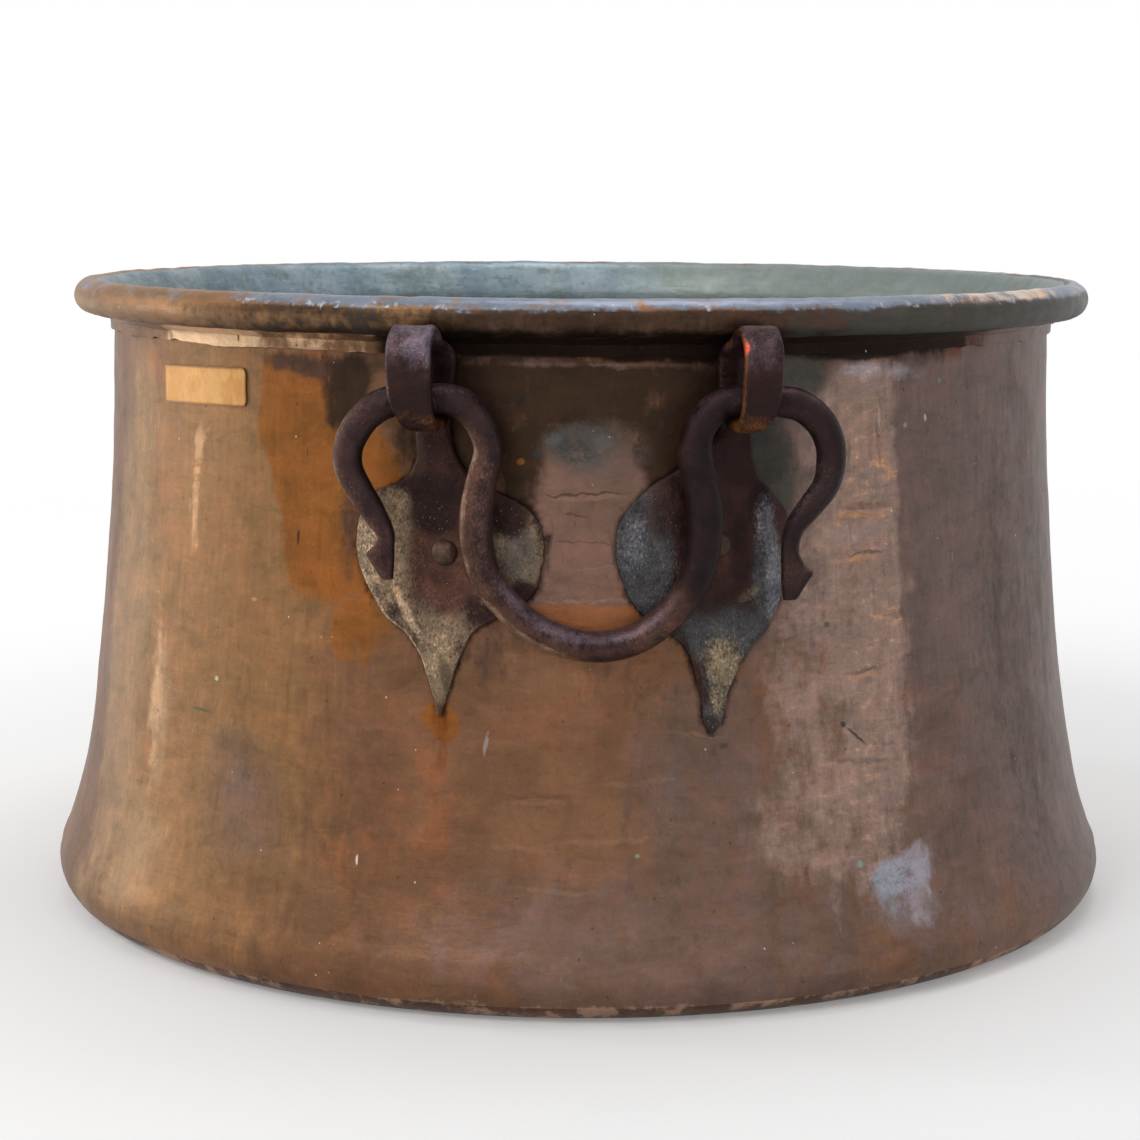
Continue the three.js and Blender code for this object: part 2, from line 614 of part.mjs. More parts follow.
function makeHandle(prefix, turn) {
  const handle = new THREE.Group();
  for (const ear of EARS) makeEar(handle, prefix, ear);
  for (const place of rivetPlaces()) makeRivet(handle, prefix, place);
  makeBail(handle, prefix);
  handle.rotation.z = turn;
  cauldron.add(handle);
}

// The small blank plate, bent to the wall, with its right-hand corners rounded
function makePlate() {
  const { width, height, thickness, corner } = PLATE;
  const azimuth = degrees(PLATE.azimuth);
  const centre = WIRE_HEIGHT - PLATE.drop;
  const turn = degrees(PLATE.turn);
  const halfHeight = (x) => {
    const past = Math.max(0, x - (width / 2 - corner));
    return height / 2 - corner + Math.sqrt(corner ** 2 - past ** 2);
  };
  const bent = (x, y, depth) => {
    const up = centre + x * Math.sin(turn) + y * Math.cos(turn);
    const around = x * Math.cos(turn) - y * Math.sin(turn);
    const [radius, level] = offWall(up, GAP + depth);
    return atAzimuth(radius, level, azimuth + around / wallRadius(centre));
  };
  const stations = [];
  for (let i = 0; i < PLATE_COLUMNS; i += 1) {
    stations.push(THREE.MathUtils.lerp(-width / 2, width / 2 - corner, i / PLATE_COLUMNS));
  }
  for (let i = 0; i < CORNER_COLUMNS; i += 1) {
    const angle = (Math.PI / 2) * (i / CORNER_COLUMNS);
    stations.push(width / 2 - corner * (1 - Math.sin(angle)));
  }
  const body = stations.map((x) => {
    const top = halfHeight(x);
    return [bent(x, -top, 0), bent(x, top, 0), bent(x, top, thickness), bent(x, -top, thickness)];
  });
  addMesh(cauldron, "blank_plate", loft(body), GILT);
}

makeWall();
makePan();
makeWire();
makeHandle("front", 0);
makeHandle("rear", Math.PI);
makePlate();

export default cauldron;
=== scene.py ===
import math

import bpy
import numpy as np
from mathutils import Matrix


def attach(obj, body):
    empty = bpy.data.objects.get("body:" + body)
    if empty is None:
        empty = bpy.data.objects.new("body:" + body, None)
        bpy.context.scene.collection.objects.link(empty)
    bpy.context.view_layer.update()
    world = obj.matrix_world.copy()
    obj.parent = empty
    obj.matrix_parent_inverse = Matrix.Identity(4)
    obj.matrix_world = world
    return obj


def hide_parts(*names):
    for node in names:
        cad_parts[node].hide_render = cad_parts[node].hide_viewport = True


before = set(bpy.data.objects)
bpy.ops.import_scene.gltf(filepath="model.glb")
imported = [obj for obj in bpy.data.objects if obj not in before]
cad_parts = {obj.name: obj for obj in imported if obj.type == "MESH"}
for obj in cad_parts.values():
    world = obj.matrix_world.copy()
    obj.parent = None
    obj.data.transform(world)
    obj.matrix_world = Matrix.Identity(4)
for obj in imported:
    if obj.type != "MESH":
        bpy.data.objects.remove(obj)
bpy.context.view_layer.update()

MM = 0.001

# Sizes of the copper vessel
SHEET = 2 * MM
NECK_RADIUS = 289.4 * MM
CORNER_RADIUS = 22 * MM
EDGE_HEIGHT = 10 * MM
# Each row is a height above the floor and how far the wall stands out beyond the neck there.
FLARE = np.array([
    (29, 39.9), (42, 35.2), (66, 27.7), (100, 20.3), (150, 13.5), (220, 6.6), (290, 1.3), (350, 0),
]) * MM
PAN_TOP = 36 * MM
WIRE_RADIUS = 7.9 * MM
WIRE_OFFSET = 13.8 * MM
WIRE_HEIGHT = 369.6 * MM
TAIL_END = 349.6 * MM
SEAM_AZIMUTH = math.radians(32)
SEAM_STEP = 28 * MM
SEAM_DEPTH = 24 * MM
SEAM_FLARE = 2.5 * MM
GAP = 0.3 * MM

# Sizes of the ears, the eyes and the bails
AXIS_Y = NECK_RADIUS + 13.6 * MM
AXIS_HEIGHT = WIRE_HEIGHT - 41.8 * MM
BAR_RADIUS = 8.3 * MM
STRAP = 7 * MM
STRAP_END = 7.4 * MM
LEAF = 5 * MM
LEAF_EDGE = 2.2 * MM
EYE_PLAY = 1.6 * MM
EYE_RISE = 39 * MM
EYE_TWIST = math.radians(4)
# Sideways sizes count outwards from the eye's middle, so a negative size lies towards the other ear.
# An outline row is a drop below the swing axis, then the leaf's inner and outer edge, in millimetres.
EARS = {
    "left": {
        "side": -1,
        "eye_x": 82.3 * MM,
        "eye_width": 24 * MM,
        "rivet": (-6.8 * MM, 82 * MM),
        "outline": [
            (168, -6.8, -5), (159, -9, -2.4), (150, -11.6, 0.6), (139, -15.1, 5.3), (130, -18.9, 10.6),
            (124, -22, 15.8), (119, -29, 24), (113, -39.5, 30), (104, -53.2, 36.1), (93, -57, 42.3),
            (79, -58.8, 44.3), (65, -55.3, 42.7), (57, -48.6, 37.6), (51, -38, 31.5), (45, -23, 18.6),
            (36, -14.6, 11.5), (18, -8.2, 9.9),
        ],
    },
    "right": {
        "side": 1,
        "eye_x": 86 * MM,
        "eye_width": 21 * MM,
        "rivet": (-9.9 * MM, 77 * MM),
        "outline": [
            (177, -15.6, -13.4), (173, -17.6, -9.6), (166, -18.3, -6.9), (157, -19.5, -5.2),
            (145, -22.7, 0.7), (135, -26, 6.5), (125, -34, 15.4), (113, -50.7, 23.6), (106, -56.4, 26.5),
            (94, -61, 26.8), (81, -63.4, 28.3), (69, -62.2, 30.4), (61, -58.5, 30), (51, -50.1, 21),
            (44, -42, 14.1), (36, -29, 11.2), (18, -9, 9.2),
        ],
    },
}
# Half-width of the strap as a share of the eye's width, its thickness, and how far its middle leans
# towards the other ear, along the eye's path
EYE_SHARES = [(share, STRAP, 0) for share in (0.4, 0.42, 0.45, 0.47, 0.5, 0.5, 0.5, 0.5, 0.5, 0.5)] + [
    (0.5, STRAP, 0.4 * MM), (0.48, STRAP, 1.2 * MM), (0.43, STRAP, 2.2 * MM), (0.37, STRAP_END, 3 * MM),
    (0.3, STRAP_END, 3.4 * MM), (0.25, STRAP_END, 3.4 * MM), (0.22, STRAP_END, 3.4 * MM),
]
# Each row is a way along the bail: sideways place, drop below the swing axis, and the half-widths of
# the bar on its outer side, on its inner side and across it, in millimetres. Sideways places count
# outwards from the eye on each half, and from the middle of the handle on the bend that joins them.
LEFT_HALF = [
    (18.6, 93.6, 1.8, 3.4, 3.4), (19.2, 87, 6.2, 4.4, 4.4), (19, 80.6, 11, 4.4, 4.8),
    (19, 76.6, 7, 4.2, 4.8), (19.2, 71, 4.8, 4.8, 5), (24.4, 60.3, 6.1, 6.1, 6.1),
    (32.6, 46.8, 6.9, 6.9, 6.9), (38, 35.5, 7.5, 7.5, 7.5), (38.2, 25.5, 7.8, 7.8, 7.8),
    (33.9, 15.2, 8.1, 8.1, 8.1), (25.2, 5.4, 8.3, 8.3, 8.3), (14, 0.6, 8.3, 8.3, 8.3),
    (0, 0, 8.3, 8.3, 8.3), (-13, 0, 8.3, 8.3, 8.3), (-21, 2.6, 8.3, 8.3, 8.3),
    (-29.5, 11.5, 8.2, 8.2, 8.2), (-34.2, 25.5, 7.8, 7.8, 7.8), (-30.8, 41, 8, 8, 8),
    (-28, 59.5, 8.9, 8.9, 8.9), (-28.4, 76.7, 8.6, 8.6, 8.6), (-34, 94, 8.2, 8.2, 8.2),
]
BEND = [
    (-31.5, 113.5, 8.2, 8.2, 8.2), (-14, 124, 8.2, 8.2, 8.2), (5, 128.5, 8.2, 8.2, 8.2),
    (24, 126, 8.2, 8.2, 8.2), (41, 116, 8.3, 8.3, 8.3),
]
RIGHT_HALF = [
    (23, 103, 2.6, 4, 3.4), (22.7, 97, 7, 4.6, 4.4), (22.4, 90, 12.4, 4.8, 4.8),
    (22.2, 85.6, 8, 4.6, 4.8), (22.2, 79, 4.8, 4.8, 4.8), (24.2, 66, 5.2, 5.2, 5.4),
    (33.6, 52.8, 6.6, 6.6, 6.6), (40, 43.5, 7, 7, 7), (42.5, 33, 7.5, 7.5, 7.5),
    (42, 22, 7.9, 7.9, 7.9), (36.8, 11, 8.2, 8.2, 8.2), (26.6, 2.6, 8.3, 8.3, 8.3),
    (13, 0, 8.3, 8.3, 8.3), (0, 0, 8.3, 8.3, 8.3), (-11, 0.6, 8.3, 8.3, 8.3),
    (-19.5, 6.2, 8.3, 8.3, 8.3), (-25.6, 15, 8.5, 8.5, 8.5), (-27.6, 26.5, 8.9, 8.9, 8.9),
    (-25, 41, 9.2, 9.2, 9.2), (-22.5, 56, 9.4, 9.4, 9.4), (-22.2, 72, 9.2, 9.2, 9.2),
    (-24.2, 84.5, 8.9, 8.9, 8.9), (-30.5, 99.5, 8.5, 8.5, 8.5),
]
FOOT_ROWS = 5

# Sizes of the rivets, their roves and the blank plate
SHANK_RADIUS = 4 * MM
LEAF_HEAD = (7 * MM, 4.5 * MM)
EYE_HEAD = (6 * MM, 2.6 * MM)
EYE_RIVET_DROP = -1 * MM
ROVE_RADIUS = 9 * MM
ROVE_THICKNESS = 2.2 * MM
PEEN = (6 * MM, 3 * MM)
PLATE = {
    "width": 77 * MM, "height": 21 * MM, "thickness": 0.8 * MM, "corner": 3 * MM,
    "azimuth": math.radians(-46.7), "drop": 43.6 * MM, "turn": math.radians(1.6),
}

# How fine the meshes are
WALL_STEP = 3.1 * MM
COLUMNS = 600
ROLL_STEP = 1.7 * MM
RING_STEP = 1.35 * MM
BAR_SIDES = 36
SECTION_TOP = 51
SECTION_BACK = 25
CORNER_STEPS = 3
ROUND_COLUMNS = 48

WIRE_RING = NECK_RADIUS + WIRE_OFFSET
MID_ROLL = WIRE_RADIUS + GAP + SHEET / 2
ROLL_RADIUS = WIRE_RADIUS + GAP + SHEET
CORNER_TOP = FLARE[0, 0]
NECK_START = FLARE[-1, 0]
CORNER_ANGLE = math.asin((CORNER_TOP - CORNER_RADIUS) / CORNER_RADIUS)
CORNER_CENTRE = NECK_RADIUS + FLARE[0, 1] - CORNER_RADIUS * math.cos(CORNER_ANGLE)
NECK_ROUND = 2 * math.pi * NECK_RADIUS


# Number helpers
def smooth_rows(at, places, rows):
    """A smooth curve through rows of numbers, read at each place in at"""
    places = np.asarray(places, float)
    rows = np.asarray(rows, float).reshape(len(places), -1)
    at = np.asarray(at, float)
    steps = np.diff(places)
    slopes = np.diff(rows, axis=0) / steps[:, None]
    tangents = np.zeros_like(rows)
    tangents[1:-1] = (slopes[1:] + slopes[:-1]) / 2
    i = np.clip(np.searchsorted(places, at, side="right") - 1, 0, len(steps) - 1)
    p = ((at - places[i]) / steps[i])[:, None]
    span = steps[i][:, None]
    return (
        rows[i] * (2 * p**3 - 3 * p**2 + 1)
        + rows[i + 1] * (3 * p**2 - 2 * p**3)
        + span * tangents[i] * (p**3 - 2 * p**2 + p)
        + span * tangents[i + 1] * (p**3 - p**2)
    )


def path_lengths(points):
    """How far along its path each point lies"""
    steps = np.linalg.norm(np.diff(points, axis=0), axis=1)
    return np.concatenate([[0], np.cumsum(steps)])


def even_steps(start, end, step):
    return np.linspace(start, end, math.ceil(abs(end - start) / step) + 1)


def scatter(cells, seed):
    """A repeatable random value from -1 to 1 for each row of whole numbers"""
    primes = np.array([73856093, 19349663, 83492791])[: cells.shape[-1]]
    mixed = (cells @ primes + seed * 40503) & 0xFFFFFFFF
    mixed = ((mixed ^ (mixed >> 15)) * 73244475) & 0xFFFFFFFF
    mixed = ((mixed ^ (mixed >> 15)) * 73244475) & 0xFFFFFFFF
    return ((mixed ^ (mixed >> 16)) & 0xFFFF) / 32767.5 - 1


def lumps(points, size, seed):
    """Smooth random values from -1 to 1 over space, in lumps about size across"""
    place = points / size + seed * 7.31
    cell = np.floor(place).astype(np.int64)
    part = place - cell
    part = part * part * (3 - 2 * part)
    total = np.zeros(points.shape[:-1])
    for corner in range(8):
        step = np.array([corner & 1, corner >> 1 & 1, corner >> 2 & 1])
        weight = np.prod(np.where(step, part, 1 - part), axis=-1)
        total += weight * scatter(cell + step, seed)
    return total


def hammer_marks(u, v, size, seed, wrap=None):
    """How far each place lies from the middle of its hammer blow, from 0 to about 1. u wraps round at wrap."""
    count = max(1, round((wrap or 1) / size))
    pitch = (wrap or 1) / count
    column = np.floor(u / pitch).astype(np.int64)
    row = np.floor(v / size).astype(np.int64)
    nearest = np.full(np.shape(u), 9.0)
    for i in (-1, 0, 1):
        for j in (-1, 0, 1):
            key = np.stack([(column + i) % count, row + j], axis=-1)
            x = (column + i + 0.5 + 0.42 * scatter(key, seed)) * pitch
            y = (row + j + 0.5 + 0.42 * scatter(key, seed + 1)) * size
            nearest = np.minimum(nearest, ((u - x) / pitch) ** 2 + ((v - y) / size) ** 2)
    return np.minimum(nearest, 1)


def blend_step(value, low, high):
    """From 0 at low to 1 at high, smoothly"""
    share = np.clip((value - low) / (high - low), 0, 1)
    return share * share * (3 - 2 * share)


def patch(across, up, half_across, half_up, turn=0.0, power=2.0):
    """1 in the middle of a turned oval patch and 0 outside it. A high power makes it boxy, with a firmer edge."""
    edge = (0.4, 1.3) if power < 4 else (0.78, 1.12)
    cosine, sine = math.cos(math.radians(turn)), math.sin(math.radians(turn))
    along = np.abs(across * cosine + up * sine) / half_across
    beside = np.abs(up * cosine - across * sine) / half_up
    reach = (along**power + beside**power) ** (1 / power)
    return 1 - blend_step(reach, *edge)


# The wall's outer surface
def wall_radius(height):
    height = np.asarray(height, float)
    rise = np.clip(height - CORNER_RADIUS, -CORNER_RADIUS, CORNER_RADIUS)
    corner = CORNER_CENTRE + np.sqrt(CORNER_RADIUS**2 - rise**2)
    inside = np.clip(height, CORNER_TOP, NECK_START).ravel()
    flare = smooth_rows(inside, FLARE[:, 0], FLARE[:, 1])[:, 0].reshape(height.shape)
    return np.where(height < CORNER_TOP, corner, NECK_RADIUS + flare)


def wall_normal(height):
    """The wall's outward direction at a height, as radius and height parts"""
    half = 0.5 * MM
    slope = (wall_radius(height + half) - wall_radius(height - half)) / (2 * half)
    length = np.hypot(1, slope)
    return 1 / length, -slope / length


def off_wall(height, distance):
    outward, upward = wall_normal(height)
    return wall_radius(height) + distance * outward, height + distance * upward


def at_azimuth(radius, height, azimuth):
    return np.stack(np.broadcast_arrays(radius * np.sin(azimuth), -radius * np.cos(azimuth), height), axis=-1)


def turned_by(angle):
    """Turns an azimuth difference into the range from minus half a turn to half a turn"""
    return (angle + math.pi) % (2 * math.pi) - math.pi


def dents(azimuth, height):
    """How far the hand-raised wall stands proud of its true shape. It is calm at the rim, at the foot and
    where a hanging bail leans on it."""
    points = at_azimuth(wall_radius(height), height, azimuth)
    u = azimuth % (2 * math.pi) * NECK_RADIUS
    blows = hammer_marks(u, height, 23 * MM, 3, NECK_ROUND)
    small = hammer_marks(u, height, 11 * MM, 8, NECK_ROUND)
    waves = 0.9 * lumps(points, 120 * MM, 5) + 0.5 * lumps(points, 48 * MM, 6)
    depth = (waves + 0.5 * blows + 0.2 * small - 0.35) * MM
    calm = blend_step(height, EDGE_HEIGHT, 40 * MM) * (1 - blend_step(height, 334 * MM, 352 * MM))
    half_turn = azimuth % math.pi
    around = np.minimum(half_turn, math.pi - half_turn) * NECK_RADIUS
    contact = patch(around, height - 199 * MM, 22 * MM, 14 * MM)
    return depth * (0.15 + 0.85 * calm) * (1 - contact)


# Mesh helpers
def make_piece(name, points, faces, finish, body, nodes=(), sharp=50):
    """A smooth-shaded piece that rides on a body and may stand for CAD nodes"""
    mesh = bpy.data.meshes.new(name)
    mesh.from_pydata([tuple(point) for point in points], [], [tuple(face) for face in faces])
    mesh.polygons.foreach_set("use_smooth", [True] * len(mesh.polygons))
    mesh.set_sharp_from_angle(angle=math.radians(sharp))
    mesh.materials.append(FINISHES[finish])
    piece = bpy.data.objects.new(name, mesh)
    bpy.context.scene.collection.objects.link(piece)
    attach(piece, body)
    if nodes:
        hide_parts(*nodes)
    return piece


def add_field(piece, name, values):
    """A number at each point, which the piece's material reads by name"""
    field = piece.data.attributes.new(name, "FLOAT", "POINT")
    field.data.foreach_set("value", np.asarray(values, np.float32).ravel())


def sheet_faces(shape, chosen):
    """Faces of a closed sheet: its outside grid first, its inside grid after it, and its edges where cells end.
    The grid's columns wrap round, and chosen says which cells are there."""
    rows, columns = shape
    grid = np.arange(rows * columns).reshape(rows, columns)
    after = np.roll(grid, -1, axis=1)
    cells = np.stack([grid[:-1], after[:-1], after[1:], grid[1:]], axis=-1)[chosen]
    count = rows * columns
    inside = cells[:, ::-1] + count
    start = cells.ravel()
    end = np.roll(cells, -1, axis=1).ravel()
    open_edge = ~np.isin(start * count + end, end * count + start)
    start, end = start[open_edge], end[open_edge]
    edges = np.stack([end, start, start + count, end + count], axis=1)
    return np.concatenate([cells, inside, edges])


def used_only(points, faces):
    """Drops the points that no face uses, and says which ones stay"""
    used, numbers = np.unique(faces, return_inverse=True)
    return points[used], numbers.reshape(faces.shape), used


def ring_normals(rings):
    """Outward unit normals of a tube of rings, and 1 or -1 for the way its rings turn"""
    around = np.roll(rings, -1, axis=1) - np.roll(rings, 1, axis=1)
    along = np.gradient(rings, axis=0)
    normals = np.cross(around, along)
    normals /= np.linalg.norm(normals, axis=2, keepdims=True) + 1e-15
    outward = rings - rings.mean(axis=1, keepdims=True)
    way = np.sign((normals * outward).sum())
    return normals * way, way


def tube_faces(rings, way):
    """Faces along a tube of rings and over its two ends"""
    rows, columns = rings.shape[:2]
    grid = np.arange(rows * columns).reshape(rows, columns)
    after = np.roll(grid, -1, axis=1)
    sides = np.stack([grid[:-1], after[:-1], after[1:], grid[1:]], axis=-1).reshape(-1, 4)
    faces = [list(face) for face in sides] + [list(grid[0][::-1]), list(grid[-1])]
    return faces if way > 0 else [face[::-1] for face in faces]


def half_turned(points):
    """The same points, half a turn round the vessel"""
    return points * np.array([-1, -1, 1])


# Shader helpers
def rgb(red, green, blue):
    """A colour given as a screen shows it, from 0 to 255"""
    linear = [((c / 255 + 0.055) / 1.055) ** 2.4 if c > 10 else c / 255 / 12.92 for c in (red, green, blue)]
    return (*linear, 1)


class Finish:
    """A material and the nodes that make it up"""

    def __init__(self, name):
        self.material = bpy.data.materials.new(name)
        self.material.use_nodes = True
        self.tree = self.material.node_tree
        self.shader = self.tree.nodes["Principled BSDF"]
        self.place = self.add("ShaderNodeTexCoord").outputs["Object"]

    def add(self, kind, inputs=(), **settings):
        node = self.tree.nodes.new(kind)
        for name, value in settings.items():
            setattr(node, name, value)
        for name, value in dict(inputs).items():
            self.put(node.inputs[name], value)
        return node

    def put(self, socket, value):
        if isinstance(value, bpy.types.NodeSocket):
            self.tree.links.new(value, socket)
        else:
            socket.default_value = value

    def math(self, operation, a, b=0.0, clamp=False):
        return self.add("ShaderNodeMath", {0: a, 1: b}, operation=operation, use_clamp=clamp).outputs[0]

    def scaled_sum(self, *pairs):
        """The sum of values, each times its own share"""
        total = 0.0
        for value, share in pairs:
            node = self.add("ShaderNodeMath", {0: value, 1: share, 2: total}, operation="MULTIPLY_ADD")
            total = node.outputs[0]
        return total

    def field(self, name):
        return self.add("ShaderNodeAttribute", attribute_name=name).outputs["Fac"]

    def stretched(self, x, y, z):
        """Object coordinates scaled along each axis, for streaks"""
        return self.add("ShaderNodeVectorMath", {0: self.place, 1: (x, y, z)}, operation="MULTIPLY").outputs[0]

    def noise(self, size, detail=3.0, roughness=0.55, distortion=0.0, place=None):
        """Noise from 0 to 1 whose lumps are about size across"""
        inputs = {
            "Vector": place or self.place, "Scale": 1 / size, "Detail": detail,
            "Roughness": roughness, "Distortion": distortion,
        }
        return self.add("ShaderNodeTexNoise", inputs).outputs["Fac"]

    def spots(self, size, radius, share, place=None):
        """Small round spots: one for about this share of the cells of a lattice"""
        inputs = {"Vector": place or self.place, "Scale": 1 / size}
        cells = self.add("ShaderNodeTexVoronoi", inputs)
        chance = self.add("ShaderNodeSeparateColor", {"Color": cells.outputs["Color"]}).outputs[0]
        near = self.between(cells.outputs["Distance"], radius * 0.6, radius, 1, 0)
        return self.math("MULTIPLY", near, self.between(chance, 1 - share, 1.02 - share))

    def between(self, value, low, high, start=0.0, end=1.0):
        """Smoothly from start where value is low to end where it is high"""
        inputs = {"Value": value, "From Min": low, "From Max": high, "To Min": start, "To Max": end}
        return self.add("ShaderNodeMapRange", inputs, interpolation_type="SMOOTHSTEP").outputs["Result"]

    def mix(self, share, first, second, blend="MIX"):
        node = self.add("ShaderNodeMix", data_type="RGBA", blend_type=blend)
        self.put(node.inputs[0], share)
        self.put(node.inputs[6], first)
        self.put(node.inputs[7], second)
        return node.outputs[2]

    def bump(self, height, distance, strength=1.0, normal=None):
        inputs = {"Height": height, "Distance": distance, "Strength": strength}
        if normal:
            inputs["Normal"] = normal
        return self.add("ShaderNodeBump", inputs).outputs["Normal"]

    def unrolled(self):
        """The place on the unrolled wall: along the neck's circle, and up"""
        parts = self.add("ShaderNodeSeparateXYZ", {0: self.place}).outputs
        azimuth = self.math("ARCTAN2", parts["X"], self.math("MULTIPLY", parts["Y"], -1.0))
        return self.math("MULTIPLY", azimuth, NECK_RADIUS), parts["Z"]

    def along_rim(self):
        """A place drawn out along the rim, and mirrored at the front so that it closes at the rear"""
        parts = self.add("ShaderNodeSeparateXYZ", {0: self.place}).outputs
        around, height = self.unrolled()
        around = self.math("MULTIPLY", self.math("ABSOLUTE", around), 0.13)
        inputs = {"X": around, "Y": height, "Z": self.math("MULTIPLY", parts["X"], 0.08)}
        return self.add("ShaderNodeCombineXYZ", inputs).outputs[0]

    def either(self, share, first, second):
        """A place that goes from the first to the second as share goes from 0 to 1"""
        node = self.add("ShaderNodeMix", data_type="VECTOR")
        self.put(node.inputs[0], share)
        self.put(node.inputs[4], first)
        self.put(node.inputs[5], second)
        return node.outputs[1]

    def swayed(self, ways, size, reach):
        """The unrolled place moved by noise, so that outlines drawn on it wobble by about half of reach"""
        noise = self.add("ShaderNodeTexNoise", {"Vector": self.place, "Scale": 1 / size, "Detail": 3.0})
        steps = self.add("ShaderNodeSeparateColor", {"Color": noise.outputs["Color"]}).outputs
        return [self.scaled_sum((1.0, -reach / 2), (step, reach), (way, 1.0)) for step, way in zip(steps, ways)]

    def mark(self, ways, middle, half, turn=0.0, most=1.0):
        """most within a small turned oval on the unrolled wall, falling to 0 at its outline"""
        cosine = math.cos(math.radians(turn))
        sine = math.sin(math.radians(turn))
        along_middle = middle[0] * cosine + middle[1] * sine
        aside_middle = middle[1] * cosine - middle[0] * sine
        around, up = ways
        along = self.scaled_sum((-along_middle, 1 / half[0]), (around, cosine / half[0]), (up, sine / half[0]))
        aside = self.scaled_sum((-aside_middle, 1 / half[1]), (around, -sine / half[1]), (up, cosine / half[1]))
        reach = self.scaled_sum((along, along), (aside, aside))
        return self.between(reach, 0.2, 1.0, most, 0)

    def set(self, **inputs):
        for name, value in inputs.items():
            self.put(self.shader.inputs[name.replace("_", " ")], value)
        return self.material


# Tints of the copper's patina and of painted light and shade: name, colour, its full share, the values where it
# starts and is full, and how ragged its outline is
TINTS = [
    ("ochre", rgb(140, 104, 68), 0.85, 0.1, 0.9, 0.6),
    # The tan tint is a patina colour; on the far left of the wall it also paints the lit side and a reflection streak.
    ("tan", rgb(154, 124, 92), 0.8, 0.1, 0.9, 0.6),
    ("mauve", rgb(104, 88, 84), 0.9, 0.1, 0.9, 0.5),
    ("amber", rgb(136, 83, 34), 0.88, 0.15, 0.65, 0.9),
    ("orange", rgb(140, 86, 54), 0.7, 0.1, 1.0, 1.0),
    # The shade tint paints shade: under the rim, on the lower side of the roll, on the right side and beside the left
    # leaf.
    ("shade", rgb(72, 54, 46), 0.9, 0.1, 0.9, 0.8),
    # The olive tint is a dark patina; under the rim on the wall it is dirt together with painted shadow.
    ("olive", rgb(54, 39, 28), 0.97, 0.1, 0.9, 0.9),
    ("clean", rgb(147, 123, 112), 0.88, 0.1, 0.8, 0.9),
    ("teal", rgb(74, 80, 77), 0.85, 0.25, 1.05, 2.0),
    ("panel", rgb(121, 94, 83), 0.88, 0.15, 0.8, 0.8),
    ("band", rgb(152, 94, 58), 0.85, 0.2, 0.6, 0.8),
    # The pale tint is a pale patina by the gold drips, and at azimuth -53 a painted reflection streak.
    ("pale", rgb(198, 158, 120), 0.75, 0.1, 1.0, 1.1),
    ("gold", rgb(192, 146, 102), 0.6, 0.4, 1.0, 3.0),
    ("bloom", rgb(150, 142, 150), 0.8, 0.1, 1.0, 1.2),
    ("rust", rgb(104, 50, 14), 0.9, 0.1, 1.0, 1.0),
    # The soot tint paints the shadow under the rim, under the roll and beside the leaves, over real dark deposits
    # there.
    ("soot_and_shade", rgb(26, 16, 11), 0.95, 0.1, 0.9, 0.9),
    ("green", rgb(70, 69, 65), 0.9, 0.15, 0.8, 0.8),
    # The worn tint paints the sky's reflection on the crest of the roll, over the wear there.
    ("worn_and_sheen", rgb(120, 131, 147), 0.94, 0.1, 0.9, 1.7),
    # The bright tint is the golden strip under the rim, and on the crest of the roll a painted highlight.
    ("bright", rgb(222, 186, 148), 0.95, 0.15, 0.6, 0.8),
    # The glint tint paints broken highlights along the roll.
    ("glint", rgb(188, 192, 198), 0.75, 0.5, 1.1, 4.5),
    # The edge tint paints a highlight along the lower lip of the strip under the rim and along the foot, over wear at
    # the foot.
    ("edge", rgb(166, 134, 112), 0.8, 0.4, 0.8, 1.4),
]
